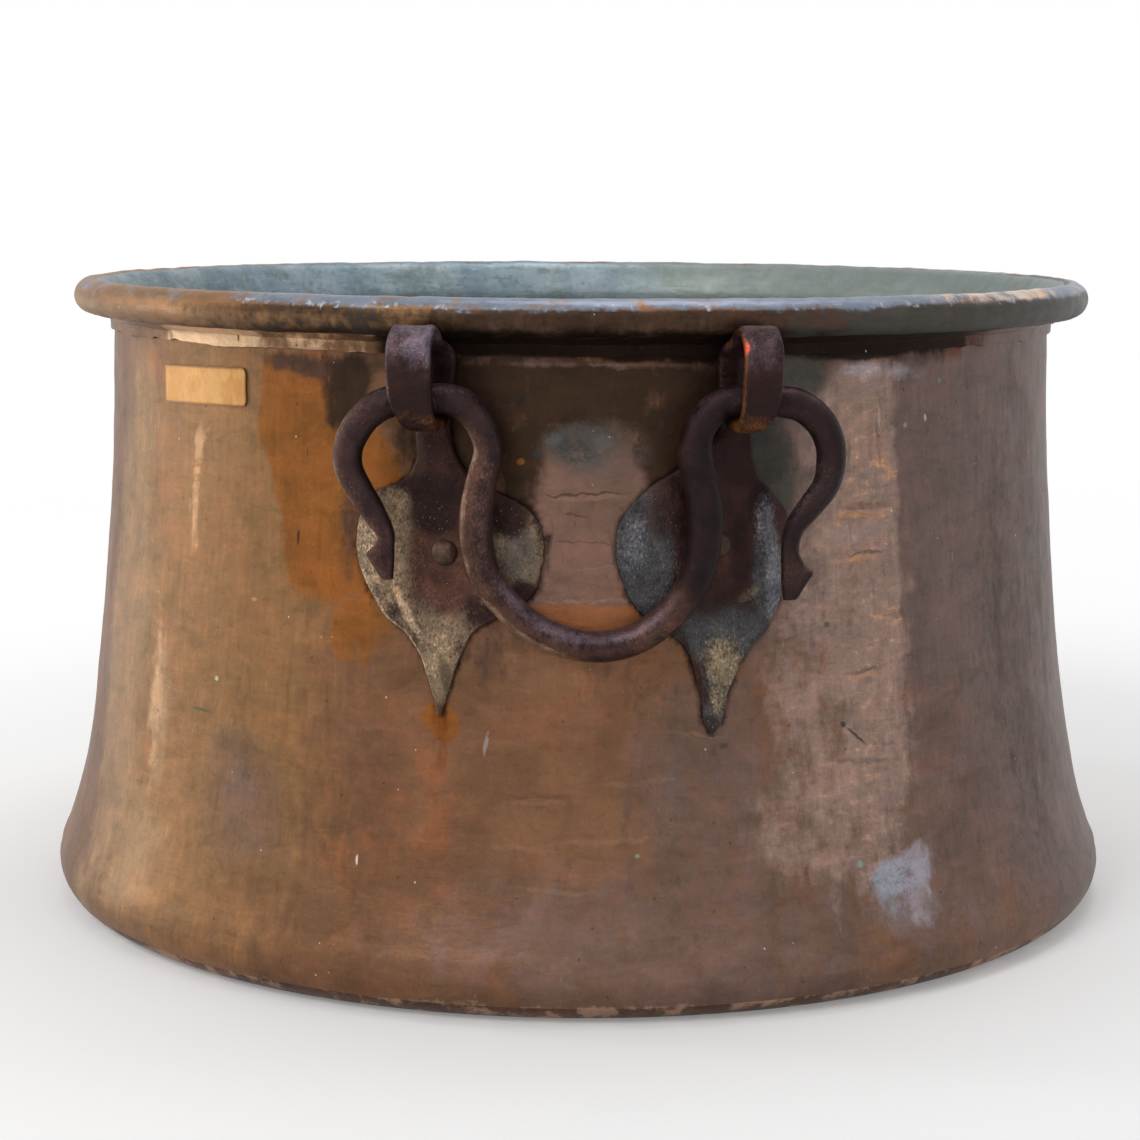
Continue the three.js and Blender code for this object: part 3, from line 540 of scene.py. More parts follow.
# Small marks on the front: azimuth in degrees, height, half-length, half-width, turn in degrees and wobble in
# millimetres, then how much they cover and their colour
CRACK = rgb(60, 42, 34)
# The LIT marks paint highlights on the lit lips of folds and cracks.
LIT = rgb(172, 134, 110)
MARKS = [
    (3.4, 344, 7, 1.8, -8, 7, 0.6, rgb(118, 106, 98)), (1.8, 345.6, 8, 1.2, -4, 7, 0.5, rgb(118, 106, 98)),
    (-4, 119, 20, 1.6, 1, 7, 0.3, CRACK), (-3.6, 116, 22, 2.2, 1, 7, 0.18, LIT), (3, 96, 34, 2, 2, 9, 0.18, LIT),
    (-6, 92, 26, 1.8, -3, 9, 0.16, LIT), (6, 126, 26, 1.8, 3, 9, 0.16, LIT), (-2, 70, 30, 2, -4, 9, 0.16, LIT),
    (12, 150, 16, 1.4, -12, 8, 0.2, LIT), (14.5, 144, 3, 2, 0, 2, 0.6, rgb(76, 60, 54)),
    (34, 212, 3, 18, -4, 5, 0.35, LIT), (30, 130, 22, 1.8, -6, 8, 0.4, CRACK), (30, 126.5, 24, 2.4, -6, 8, 0.3, LIT),
    (0.4, 277.5, 28, 0.8, 2, 6, 0.6, CRACK), (0.4, 275.6, 26, 1.3, 2, 6, 0.22, LIT),
    (-0.4, 266, 9, 0.7, -12, 6, 0.45, CRACK), (0.4, 252.5, 24, 0.7, -3, 6, 0.35, CRACK),
    (0.4, 221.5, 26, 1.3, 1, 6, 0.4, LIT), (1.4, 239, 14, 0.8, 4, 5, 0.2, LIT),
    (31.5, 241.5, 16, 1.1, 2, 4, 0.6, CRACK), (30.6, 238.6, 14, 2, 2, 5, 0.5, rgb(196, 140, 88)),
    (31.5, 267, 20, 2.4, -3, 5, 0.5, CRACK), (31, 262.5, 22, 2.4, -3, 5, 0.5, rgb(190, 138, 92)),
    (31, 178.5, 17, 1.3, 7, 5, 0.5, CRACK), (31, 175.5, 17, 2, 7, 5, 0.4, rgb(188, 140, 98)),
    (36.5, 183, 7, 2, 30, 4, 0.4, CRACK), (31, 330, 24, 2.4, 10, 6, 0.4, rgb(122, 114, 118)),
    (33.5, 300, 1.6, 14, 6, 4, 0.45, CRACK), (29.6, 296, 1.4, 9, -8, 4, 0.4, CRACK), (31, 312, 9, 5, 10, 6, 0.35, LIT),
    (30, 252, 22, 7, 4, 7, 0.3, rgb(150, 142, 142)), (34, 110, 26, 3, 18, 8, 0.3, rgb(126, 112, 112)),
    (30.5, 66, 1.6, 1.6, 0, 1, 0.7, rgb(110, 160, 158)), (28.9, 75, 2, 2.4, 20, 1, 0.6, rgb(120, 168, 160)),
    (32, 50, 1.4, 1.8, 0, 1, 0.6, rgb(106, 140, 144)), (36.5, 70, 9, 2, 30, 4, 0.4, rgb(178, 168, 176)),
    (27.9, 150.5, 2.4, 2.2, 0, 2, 0.85, rgb(44, 58, 58)), (29.4, 143.5, 10, 1.1, -42, 2, 0.8, rgb(58, 62, 54)),
    (-44.2, 146, 10, 0.9, 0, 1.5, 0.85, rgb(74, 88, 66)), (-41.9, 150.5, 5, 0.5, 72, 1.5, 0.7, rgb(74, 88, 66)),
    (-42.1, 165, 1.7, 1.7, 0, 0.5, 0.8, rgb(196, 196, 174)), (-37, 212, 2.6, 1.5, 0, 1, 0.6, rgb(180, 152, 126)),
    (-9.4, 146, 1.3, 8, -8, 2, 0.5, rgb(168, 158, 160)), (-22.3, 80, 0.8, 3.4, 0, 0.5, 0.9, rgb(214, 206, 196)),
    (-4.6, 298, 2.8, 2.2, 0, 2, 0.8, rgb(52, 58, 58)), (-6.3, 294, 2.6, 2, 0, 2, 0.8, rgb(134, 92, 34)),
    (-6.5, 325, 3.4, 4.4, 0, 3, 0.7, rgb(36, 38, 38)), (26.4, 205, 2.4, 2, 0, 1, 0.7, rgb(80, 72, 66)),
    (33.6, 315, 1.2, 8, 4, 2, 0.5, rgb(186, 158, 144)), (5.6, 88, 1.4, 1.4, 0, 0.5, 0.6, rgb(150, 164, 148)),
    (42.8, 332, 1.6, 1.8, 20, 1, 0.8, rgb(104, 132, 124)), (46.4, 329, 3.6, 1.2, 40, 1, 0.8, rgb(82, 112, 104)),
    (37.4, 309, 1.5, 1.6, 0, 1, 0.8, rgb(130, 150, 146)), (40.5, 312, 1.2, 2.6, 10, 1, 0.8, rgb(182, 176, 172)),
]

# Thin films left by drops: azimuth, height, half-width and half-height, how much they cover and their colour
FILMS = [
    (1.8, 300, 32, 20, 0.6, rgb(98, 86, 80)), (-0.3, 302, 24, 15, 0.75, rgb(73, 77, 76)),
    (-0.8, 301, 14, 9, 0.5, rgb(50, 56, 55)), (2.2, 305, 7, 5, 0.4, rgb(100, 103, 103)),
    (-3, 306, 6, 4, 0.4, rgb(100, 104, 103)), (33.8, 66, 24, 13, 0.6, rgb(166, 168, 184)),
    (33.2, 50, 22, 18, 0.2, rgb(160, 160, 172)), (31.8, 64, 10, 12, 0.4, rgb(150, 168, 176)),
]


def copper_finish():
    """Old hammered copper: streaked brown patina with stains and painted light and shade, a brazed seam, and a tin wash
    inside
    """
    f = Finish("hammered_copper")
    calm = f.swayed(f.unrolled(), 7 * MM, 1.5 * MM)
    wild = f.swayed(f.unrolled(), 7 * MM, 6 * MM)
    roll = f.field("roll")
    along_rim = f.along_rim()
    streak = f.noise(11 * MM, 4, 0.6, 0.3, f.either(roll, f.stretched(1, 1, 0.13), along_rim))
    thread = f.noise(3.2 * MM, 3, 0.6, 0.2, f.either(roll, f.stretched(1, 1, 0.16), along_rim))
    fleck = f.noise(4.5 * MM, 4, 0.65, 0.3, f.stretched(1, 1, 0.6))
    cloud = f.noise(85 * MM, 3, 0.6, 0.6)
    mottle = f.noise(24 * MM, 4, 0.6, 0.5)
    scaly = f.noise(8 * MM, 5, 0.7, 0.2, f.stretched(1, 1, 1.8))
    tone = f.noise(36 * MM, 4, 0.6, 0.8, f.stretched(1, 1, 1.7))
    combed = f.field("combed")
    grain = f.noise(1.4 * MM, 3, 0.6)
    ragged = f.scaled_sum((streak, 1.0), (fleck, 0.9), (mottle, 1.4), (1.0, -1.65))
    base = f.mix(f.between(cloud, 0.36, 0.64), rgb(112, 80, 58), rgb(128, 92, 68))
    for name, colour, most, low, high, rough_edge in TINTS:
        if name == "gold":
            seam = f.math("ABSOLUTE", f.field("seam"))
            braze = f.between(seam, 1 * MM, 6 * MM, 0.25, 0)
            braze = f.math("MULTIPLY", braze, f.between(f.field("clean"), 0.1, 0.5))
            reach = f.math("MAXIMUM", f.field(name), braze)
            uneven = f.math("SUBTRACT", scaly, 0.5)
        elif name == "glint":
            reach = f.field(name)
            uneven = f.math("SUBTRACT", fleck, 0.5)
        else:
            reach = f.field(name)
            uneven = ragged
        share = f.between(f.scaled_sum((uneven, rough_edge), (reach, 1.0)), low, high, 0, most)
        share = f.math("MULTIPLY", share, f.between(reach, 0.0, 0.06))
        base = f.mix(share, base, colour)
    base = f.mix(f.between(mottle, 0.42, 0.66, 0, 0.5), base, (1.2, 1.19, 1.18, 1), "MULTIPLY")
    pinker = f.between(tone, 0.5, 0.64, 0, 0.75)
    greyer = f.between(tone, 0.34, 0.49, 0.75, 0)
    base = f.mix(pinker, base, (1.17, 1.07, 1.05, 1), "MULTIPLY")
    base = f.mix(greyer, base, (0.78, 0.82, 0.8, 1), "MULTIPLY")
    light_streak = f.math("MULTIPLY", f.between(streak, 0.5, 0.72), combed)
    dark_streak = f.math("MULTIPLY", f.between(streak, 0.28, 0.46, 1, 0), combed)
    base = f.mix(light_streak, base, (1.28, 1.27, 1.25, 1), "MULTIPLY")
    base = f.mix(dark_streak, base, (0.74, 0.72, 0.7, 1), "MULTIPLY")
    scales = f.between(f.field("clean"), 0.1, 0.5)
    busy = f.scaled_sum((combed, 0.35), (scales, 0.15), (1.0, 0.08))
    light_thread = f.math("MULTIPLY", f.between(thread, 0.54, 0.68), busy)
    dark_thread = f.math("MULTIPLY", f.between(thread, 0.32, 0.46, 1, 0), busy)
    base = f.mix(light_thread, base, (1.45, 1.4, 1.36, 1), "MULTIPLY")
    base = f.mix(dark_thread, base, (0.62, 0.6, 0.6, 1), "MULTIPLY")
    lifted = f.math("MULTIPLY", f.between(scaly, 0.5, 0.68), scales)
    sunken = f.math("MULTIPLY", f.between(scaly, 0.3, 0.47, 1, 0), scales)
    base = f.mix(f.math("MULTIPLY", lifted, 0.6), base, (1.5, 1.42, 1.34, 1), "MULTIPLY")
    base = f.mix(f.math("MULTIPLY", sunken, 0.6), base, (0.6, 0.58, 0.6, 1), "MULTIPLY")
    base = f.mix(f.between(fleck, 0.54, 0.72, 0, 0.45), base, (0.68, 0.66, 0.66, 1), "MULTIPLY")
    base = f.mix(f.between(grain, 0.5, 0.68, 0, 0.4), base, (1.3, 1.28, 1.26, 1), "MULTIPLY")
    ripple = f.noise(16 * MM, 4, 0.6, 0.5, f.stretched(1, 1, 2.6))
    base = f.mix(f.between(ripple, 0.53, 0.68, 0, 0.5), base, (1.24, 1.2, 1.18, 1), "MULTIPLY")
    base = f.mix(f.between(ripple, 0.34, 0.47, 0.5, 0), base, (0.8, 0.79, 0.79, 1), "MULTIPLY")
    # Thin lines along the ripple's folds are made lighter: a painted highlight.
    fold = f.between(f.math("ABSOLUTE", f.math("SUBTRACT", ripple, 0.56)), 0.0, 0.008, 1, 0)
    fold = f.math("MULTIPLY", fold, f.between(fleck, 0.54, 0.64, 0, 0.45))
    base = f.mix(fold, base, (1.5, 1.4, 1.34, 1), "MULTIPLY")
    crumbled = f.between(scaly, 0.4, 0.56, 0.3, 1)
    for azimuth, height, half_long, half_wide, turn, wobble, most, colour in MARKS:
        middle = (math.radians(azimuth) * NECK_RADIUS, height * MM)
        ways = wild if wobble > 2 else calm
        share = f.mark(ways, middle, (half_long * MM, half_wide * MM), turn, most)
        share = f.math("MULTIPLY", share, crumbled) if wobble > 2 and half_wide > 1 else share
        base = f.mix(share, base, colour)
    for azimuth, height, half_long, half_high, most, colour in FILMS:
        middle = (math.radians(azimuth) * NECK_RADIUS, height * MM)
        share = f.mark(calm, middle, (half_long * MM, half_high * MM), 0, most)
        share = f.math("MULTIPLY", share, f.between(f.scaled_sum((scaly, 0.5), (grain, 0.5)), 0.4, 0.56, 0.3, 1))
        base = f.mix(share, base, colour)
    seam = f.scaled_sum((ragged, 2.2 * MM), (f.math("ABSOLUTE", f.field("seam")), 1.0))
    joint = f.math("MULTIPLY", f.between(seam, 0.1 * MM, 1.1 * MM, 1, 0), f.between(mottle, 0.5, 0.62, 0, 0.25))
    base = f.mix(joint, base, rgb(78, 56, 46))
    stroke = f.spots(9 * MM, 0.08, 0.4, f.stretched(1, 1, 0.2))
    stroke = f.math("MULTIPLY", stroke, f.between(f.field("mauve"), 0.3, 0.8, 0, 0.4))
    base = f.mix(stroke, base, rgb(150, 138, 140))
    dash = f.spots(8 * MM, 0.15, 0.55, f.stretched(1, 1, 0.2))
    dash = f.math("MULTIPLY", dash, f.between(f.field("nicks"), 0.1, 0.7))
    base = f.mix(f.math("MULTIPLY", dash, 0.8), base, rgb(48, 32, 20))
    pits = f.spots(8 * MM, 0.13, 0.16)
    base = f.mix(f.math("MULTIPLY", pits, 0.5), base, rgb(60, 46, 40))
    small = f.spots(6 * MM, 0.075, 0.26, f.stretched(1, 1, 0.75))
    large = f.spots(17 * MM, 0.04, 0.35, f.stretched(1, 1, 0.8))
    speck = f.math("MAXIMUM", f.math("MULTIPLY", small, f.between(mottle, 0.48, 0.6, 0.1, 0.9)), large)
    base = f.mix(f.math("MULTIPLY", speck, 0.7), base, rgb(214, 198, 178))
    tin_tone = f.mix(f.between(f.noise(60 * MM, 4, 0.6), 0.4, 0.62), rgb(118, 136, 148), rgb(142, 156, 162))
    tin_tone = f.mix(f.between(mottle, 0.45, 0.7, 0, 0.5), tin_tone, rgb(126, 138, 134))
    tin_tone = f.mix(f.between(tone, 0.5, 0.64, 0, 0.5), tin_tone, rgb(100, 112, 112))
    scratch = f.noise(9 * MM, 4, 0.65, 0.2, f.stretched(0.5, 0.5, 1.6))
    tin_tone = f.mix(f.between(scratch, 0.54, 0.68, 0, 0.45), tin_tone, rgb(160, 174, 180))
    tin_tone = f.mix(f.between(scratch, 0.32, 0.46, 0.5, 0), tin_tone, rgb(92, 104, 106))
    tin_tone = f.mix(f.between(fleck, 0.54, 0.66, 0, 0.4), tin_tone, rgb(152, 164, 168))
    tin_tone = f.mix(f.between(fleck, 0.34, 0.46, 0.4, 0), tin_tone, rgb(96, 110, 112))
    tin_tone = f.mix(f.between(f.field("wash"), 0.3, 0.9, 0, 0.7), tin_tone, rgb(128, 134, 124))
    tin = f.between(f.scaled_sum((ragged, 0.4), (f.field("tin"), 1.0)), 0.35, 0.65)
    base = f.mix(tin, base, tin_tone)
    rough = f.scaled_sum((streak, 0.22), (mottle, 0.14), (f.field("worn_and_sheen"), -0.12), (f.field("soot_and_shade"), 0.15), (1, 0.28))
    flakes = f.math("MULTIPLY", scaly, f.field("clean"))
    relief = f.scaled_sum((fleck, 0.35), (grain, 0.2), (mottle, 0.9), (ripple, 0.9), (flakes, 1.4))
    normal = f.bump(relief, 0.6 * MM, 0.6)
    return f.set(Base_Color=base, Roughness=rough, Metallic=0.6, Specular_IOR_Level=0.15, Normal=normal)


# Layers over dark forged iron, some of them painted light: name of the field, colour and full share
BAR_LAYERS = [
    # The sheen layer paints a sheen on the tops of the bars.
    ("sheen", rgb(108, 90, 98), 0.9),
    # The rust layer is rust, and where the bar faces left also a painted warmer lit side.
    ("rust", rgb(88, 60, 47), 0.85),
    ("ember", rgb(128, 72, 36), 0.85),
    # The tan layer paints a highlight on the bars' lit left side.
    ("tan", rgb(150, 120, 98), 0.85),
    # The dark layer paints shade on the right side of the bail and its right-facing sides.
    ("dark", rgb(28, 15, 18), 0.9),
]
LEAF_LAYERS = [
    ("bare", rgb(132, 112, 90), 0.97),
    ("blue", rgb(71, 70, 72), 0.97),
    ("straw", rgb(150, 132, 102), 0.9),
    ("rust", rgb(84, 54, 44), 0.97),
    ("dark", rgb(36, 19, 17), 0.97),
    # The sheen layer paints a sheen on the tops of the eyes.
    ("sheen", rgb(108, 96, 108), 0.9),
    # The ember layer is orange-brown rust, and on the left leaf's ridge and the right eye's left edge a painted
    # highlight.
    ("ember", rgb(150, 92, 48), 0.85),
    ("olive", rgb(56, 46, 30), 0.9),
    # The tan layer paints highlights on the leaves' lit edges and raised work.
    ("tan", rgb(184, 160, 130), 0.9),
    # The ridge layer paints highlights on raised, lit parts of the leaves.
    ("ridge", rgb(108, 108, 114), 0.85),
    ("red", rgb(206, 92, 62), 0.95),
]


def iron_finish(name, first, second, layers, grit):
    """Old forged iron: a rusty ground with layers of wear, tint and painted light over it, and grit on its bare parts
    """
    f = Finish(name)
    cloud = f.noise(18 * MM, 4, 0.6)
    scale = f.noise(5 * MM, 4, 0.65)
    grain = f.noise(1.2 * MM, 2, 0.7)
    sand = f.noise(1.25 * MM, 2, 0.6, 0, f.stretched(1, 1, 0.7))
    ragged = f.scaled_sum((scale, 0.7), (cloud, 1.0), (sand, 0.9), (1.0, -1.3))
    base = f.mix(f.between(cloud, 0.38, 0.62), first, second)
    for layer, colour, most in layers:
        share = f.between(f.scaled_sum((ragged, 0.9), (f.field(layer), 1.0)), 0.1, 0.95, 0, most)
        share = f.math("MULTIPLY", share, f.between(f.field(layer), 0.0, 0.06))
        base = f.mix(share, base, colour)
    broad = f.noise(13 * MM, 3, 0.55, 0.4)
    base = f.mix(f.between(broad, 0.5, 0.68, 0, 0.8), base, (1.5, 1.42, 1.36, 1), "MULTIPLY")
    base = f.mix(f.between(broad, 0.3, 0.48, 0.8, 0), base, (0.56, 0.54, 0.56, 1), "MULTIPLY")
    base = f.mix(f.between(scale, 0.52, 0.7, 0, 0.6), base, (1.36, 1.24, 1.18, 1), "MULTIPLY")
    base = f.mix(f.between(scale, 0.3, 0.46, 0.6, 0), base, (0.6, 0.58, 0.6, 1), "MULTIPLY")
    base = f.mix(f.between(grain, 0.5, 0.66, 0, 0.5), base, (0.66, 0.64, 0.64, 1), "MULTIPLY")
    gritty = f.math("MULTIPLY", f.field("grit"), grit)
    bright = f.math("MULTIPLY", f.between(sand, 0.52, 0.7), gritty)
    pit = f.math("MULTIPLY", f.between(sand, 0.32, 0.46, 1, 0), gritty)
    base = f.mix(bright, base, (2.0, 1.94, 1.86, 1), "MULTIPLY")
    base = f.mix(pit, base, (0.42, 0.4, 0.38, 1), "MULTIPLY")
    glitter = f.math("MULTIPLY", f.spots(1.3 * MM, 0.22, 0.3), f.between(f.field("grit"), 0.45, 0.95, 0, 0.8))
    glitter = f.math("MULTIPLY", glitter, f.between(cloud, 0.44, 0.6, 0.1 * grit**2, grit**2))
    base = f.mix(glitter, base, rgb(206, 204, 200))
    glint = f.spots(3.2 * MM, 0.09, 0.16)
    base = f.mix(f.math("MULTIPLY", glint, f.between(cloud, 0.42, 0.6, 0.1, 0.5)), base, rgb(160, 136, 130))
    relief = f.scaled_sum((scale, 0.9), (grain, 0.35), (broad, 1.4), (bright, 0.3))
    normal = f.bump(relief, 0.8 * MM, 0.8)
    rough = f.scaled_sum((cloud, 0.25), (scale, 0.15), (f.field("sheen"), -0.08), (1.0, 0.27))
    return f.set(Base_Color=base, Roughness=rough, Metallic=0.5, Specular_IOR_Level=0.25, Normal=normal)


def gilt_finish():
    """Worn gilt plate with a darker border"""
    f = Finish("blank_gilt_plate")
    cloud = f.noise(14 * MM, 4, 0.6, 0.4)
    scratch = f.noise(3 * MM, 3, 0.6, 0, f.stretched(1, 1, 0.25))
    grain = f.noise(0.9 * MM, 2)
    base = f.mix(f.between(cloud, 0.38, 0.64), rgb(184, 130, 66), rgb(200, 152, 90))
    base = f.mix(f.between(scratch, 0.54, 0.72, 0, 0.4), base, rgb(150, 106, 56))
    base = f.mix(f.between(grain, 0.5, 0.7, 0, 0.25), base, rgb(214, 172, 112))
    edge = f.between(f.scaled_sum((scratch, 0.4), (f.field("border"), 1.0), (1.0, -0.2)), 0.4, 0.9, 0, 0.75)
    base = f.mix(edge, base, rgb(122, 84, 46))
    relief = f.scaled_sum((scratch, 0.5), (grain, 0.3))
    rough = f.scaled_sum((cloud, 0.2), (1.0, 0.34))
    return f.set(Base_Color=base, Roughness=rough, Metallic=0.6, Normal=f.bump(relief, 0.2 * MM, 0.6))


def wire_finish():
    """Plain dark wire, closed in by the rim"""
    f = Finish("wire_iron")
    base = f.mix(f.between(f.noise(8 * MM, 4, 0.6), 0.4, 0.6), rgb(58, 44, 42), rgb(84, 66, 60))
    return f.set(Base_Color=base, Roughness=0.6, Metallic=0.5)


FINISHES = {
    "copper": copper_finish(),
    "bar": iron_finish("forged_bar_iron", rgb(48, 31, 32), rgb(62, 42, 42), BAR_LAYERS, 0.5),
    "ear": iron_finish("forged_leaf_iron", rgb(48, 27, 25), rgb(64, 40, 36), LEAF_LAYERS, 0.8),
    "rivet": iron_finish("rivet_iron", rgb(68, 52, 42), rgb(90, 72, 60), LEAF_LAYERS, 0.4),
    "gilt": gilt_finish(),
    "wire": wire_finish(),
}

# Stains on the wall, and painted light and shade laid on it the same way: tint, azimuth in degrees, height, half-width,
# half-height and tilt, how boxy, and strength
STAINS = [
    # The tan row at azimuth -62 paints the lit far left over the tan patina.
    ("ochre", -46, 190, 120, 230, 0, 2, 1.0), ("tan", -62, 190, 40, 220, 0, 2, 0.8),
    # The narrow tan row at azimuth -52.5 paints a reflection streak; the one at -54 paints the lit lower left.
    ("tan", -52.5, 140, 11, 48, 6, 2, 0.8), ("tan", -54, 60, 40, 40, 0, 2, 0.7),
    ("mauve", 70, 190, 180, 240, 0, 2, 1.1), ("mauve", 14, 100, 62, 120, 0, 2, 0.6),
    ("mauve", 20, 285, 46, 120, 0, 3, 0.9), ("mauve", 47.5, 275, 85, 120, 0, 6, 1.0),
    ("mauve", 40, 110, 130, 130, 0, 2, 0.65), ("mauve", 12, 40, 170, 60, 0, 2, 0.6),
    ("amber", -28, 285, 40, 66, 20, 4, 0.9), ("amber", -32, 320, 30, 28, 0, 4, 1.4),
    # The olive row at azimuth -25 is dark dirt beside the left ear's top, with painted shade there.
    ("amber", -23, 212, 20, 40, 0, 2, 0.6), ("olive", -25, 330, 18, 26, 0, 3, 1.2),
    # This shade row paints shade beside the left leaf.
    ("shade", -25, 262, 10, 34, 0, 2, 0.6),
    ("orange", -13.4, 105, 13, 66, 0, 2, 0.45), ("orange", -13.8, 120, 5, 42, 0, 2, 0.6), ("orange", -20, 110, 50, 90, 0, 2, 0.3),
    ("orange", 0, 160, 22, 22, 0, 2, 0.3), ("orange", -24, 80, 30, 22, 0, 2, 0.35), ("orange", -8, 216, 26, 16, 0, 2, 0.3),
    # These shade rows paint shade on the right side and shadow under the rim.
    ("shade", 60, 190, 64, 190, 0, 2, 0.5), ("shade", 10, 347, 190, 8, 0, 4, 0.7),
    ("shade", 7, 175, 40, 30, 0, 2, 0.3), ("shade", -10, 210, 22, 36, 0, 2, 0.5),
    # The olive row at azimuth 0 and height 332 is dirt under the rim together with painted shadow.
    ("olive", 0, 332, 96, 18, 0, 4, 1.0), ("olive", -13, 306, 36, 34, 0, 2, 1.0),
    ("olive", 15, 300, 38, 40, 0, 2, 1.0), ("olive", 0, 312, 52, 20, 0, 2, 0.7),
    ("olive", 9, 302, 18, 28, 0, 4, 1.2), ("olive", -7, 290, 13, 34, 0, 3, 1.1),
    ("green", 19.5, 290, 20, 34, 0, 3, 1.0), ("green", 22, 335, 30, 12, 0, 3, 0.9),
    # The soot rows paint the dark shadow band under the rim, over real dark deposits.
    ("soot_and_shade", 2, 351, 96, 3, 0, 4, 1.1), ("soot_and_shade", 28, 350, 92, 6, 1, 3, 1.2), ("panel", 0, 345.5, 84, 3, 0, 2, 0.45),
    ("panel", 0.6, 288, 32, 24, 0, 3, 0.7), ("panel", 0.9, 250, 36, 44, 0, 4, 0.9),
    ("band", 0.2, 211, 34, 9, 0, 6, 0.9), ("rust", -14.1, 157, 5, 9, 0, 2, 0.9), ("amber", -14, 158, 9, 12, 0, 2, 1.2),
    ("rust", -13.9, 143, 4, 16, 0, 2, 0.5), ("rust", 13.6, 143, 2.5, 6, 0, 2, 0.4), ("gold", -47, 300, 7, 10, 0, 2, 0.7),
    ("gold", -47.5, 268, 4, 36, 0, 2, 0.8), ("pale", -47.4, 294, 5, 13, 0, 2, 0.9), ("pale", -47.6, 262, 4, 36, 0, 2, 0.6),
    # The pale row at azimuth -53 paints a reflection streak; the edge row paints a highlight along the foot.
    ("pale", -53, 144, 8, 50, 5, 2, 0.55), ("edge", -2, 9, 100, 4, 0, 4, 0.6), ("panel", 0, 42, 120, 28, 0, 2, 0.5),
    ("mauve", -37, 105, 40, 50, 0, 2, 0.5), ("bloom", 33, 339, 38, 4, -5, 2, 0.6), ("clean", 24, 92, 44, 30, 0, 2, 0.5),
    # The olive and soot rows at azimuth 180 are dirt and painted shadow under the rim at the rear.
    ("rust", 45.5, 347, 9, 5, 0, 2, 0.45), ("olive", 180, 332, 90, 18, 0, 4, 0.8), ("soot_and_shade", 180, 351, 110, 4, 0, 4, 1.0),
    # The shade row at azimuth -29 paints the shadow below the strip.
    ("mauve", 29, 316, 24, 26, 0, 2, 0.5), ("shade", -29, 343, 50, 6, 0, 3, 0.9),
    ("mauve", 176, 230, 74, 120, 0, 2, 0.8), ("olive", 169, 300, 36, 34, 0, 2, 0.7), ("rust", 165.9, 157, 5, 9, 0, 2, 0.8),
    ("orange", 166, 112, 12, 60, 0, 2, 0.4), ("mauve", -118, 130, 130, 130, 0, 2, 0.6), ("tan", 128, 120, 90, 110, 0, 2, 0.5),
    ("mauve", 109, 262, 56, 76, 20, 2, 0.75),
    ("mauve", 118, 116, 60, 60, -15, 2, 0.65), ("mauve", 138, 226, 44, 60, 0, 2, 0.55), ("ochre", 86, 150, 44, 60, 0, 2, 0.5),
    ("shade", -146, 70, 90, 34, 0, 2, 0.4), ("shade", 106, 250, 60, 120, 0, 2, 0.35), ("ochre", -95, 260, 90, 90, 0, 2, 0.6),
    ("amber", -150, 300, 40, 40, 0, 3, 0.5), ("panel", -172, 48, 90, 24, 0, 2, 0.4),
]
# The same beside each seam, with the place across the seam in millimetres
SEAM_STAINS = [
    ("clean", -5, 255, 26, 94, 0, 6, 0.9), ("clean", -6, 140, 30, 90, 0, 3, 0.8), ("mauve", -30, 262, 18, 110, 0, 2, 0.9), ("clean", -34, 190, 30, 140, 0, 2, 0.5),
    ("gold", 12, 288, 7, 13, 0, 2, 0.7), ("gold", -2, 278, 6, 5, 0, 2, 0.6), ("gold", -13, 262, 11, 4, 0, 2, 0.6),
    ("gold", 12, 268, 8, 5, 0, 2, 0.6), ("gold", -8, 203, 8, 6, 0, 2, 0.6), ("gold", 13, 206, 12, 5, 0, 2, 0.5),
    ("gold", -5, 138, 10, 8, 0, 2, 0.4), ("gold", 12, 160, 10, 10, 0, 2, 0.4), ("gold", 14, 318, 4, 10, 0, 2, 0.4),
    ("orange", 8, 316, 18, 22, 0, 2, 0.35), ("orange", 12, 192, 12, 26, 0, 2, 0.3),
    ("bloom", 9, 60, 25, 20, 0, 4, 0.6),
]
# How far the dirt and painted shadow round a leaf reach over the copper
LEAF_DIRT_AND_SHADOW = 5 * MM


def leaf_dirt_and_shadow(azimuth, height):
    """Dark dirt and painted shadow on the copper just outside the leaves, strongest beside their edges"""
    drop = AXIS_HEIGHT - height
    strongest = np.zeros(np.shape(azimuth))
    for turn in (0, math.pi):
        for ear in EARS.values():
            eye_azimuth = math.atan2(ear["eye_x"], AXIS_Y)
            side = (ear["side"] * turned_by(azimuth - turn) - eye_azimuth) * wall_radius(height)
            drops = np.array([row[0] for row in ear["outline"]]) * MM
            lowest = drops[0]
            heights = np.clip(lowest - drop, 0, lowest - drops[-1]).ravel()
            edges = smooth_rows(heights, lowest - drops, np.array([row[1:] for row in ear["outline"]]) * MM)
            inner, outer = (edge.reshape(np.shape(side)) for edge in edges.T)
            beside = np.maximum(np.maximum(inner - side, side - outer), 0)
            below = np.maximum(drop - lowest, 0)
            above = np.maximum(-drop, 0)
            outside = np.sqrt(beside**2 + below**2 + above**2)
            strongest = np.maximum(strongest, 1 - blend_step(outside, 0.5 * MM, LEAF_DIRT_AND_SHADOW))
    return strongest


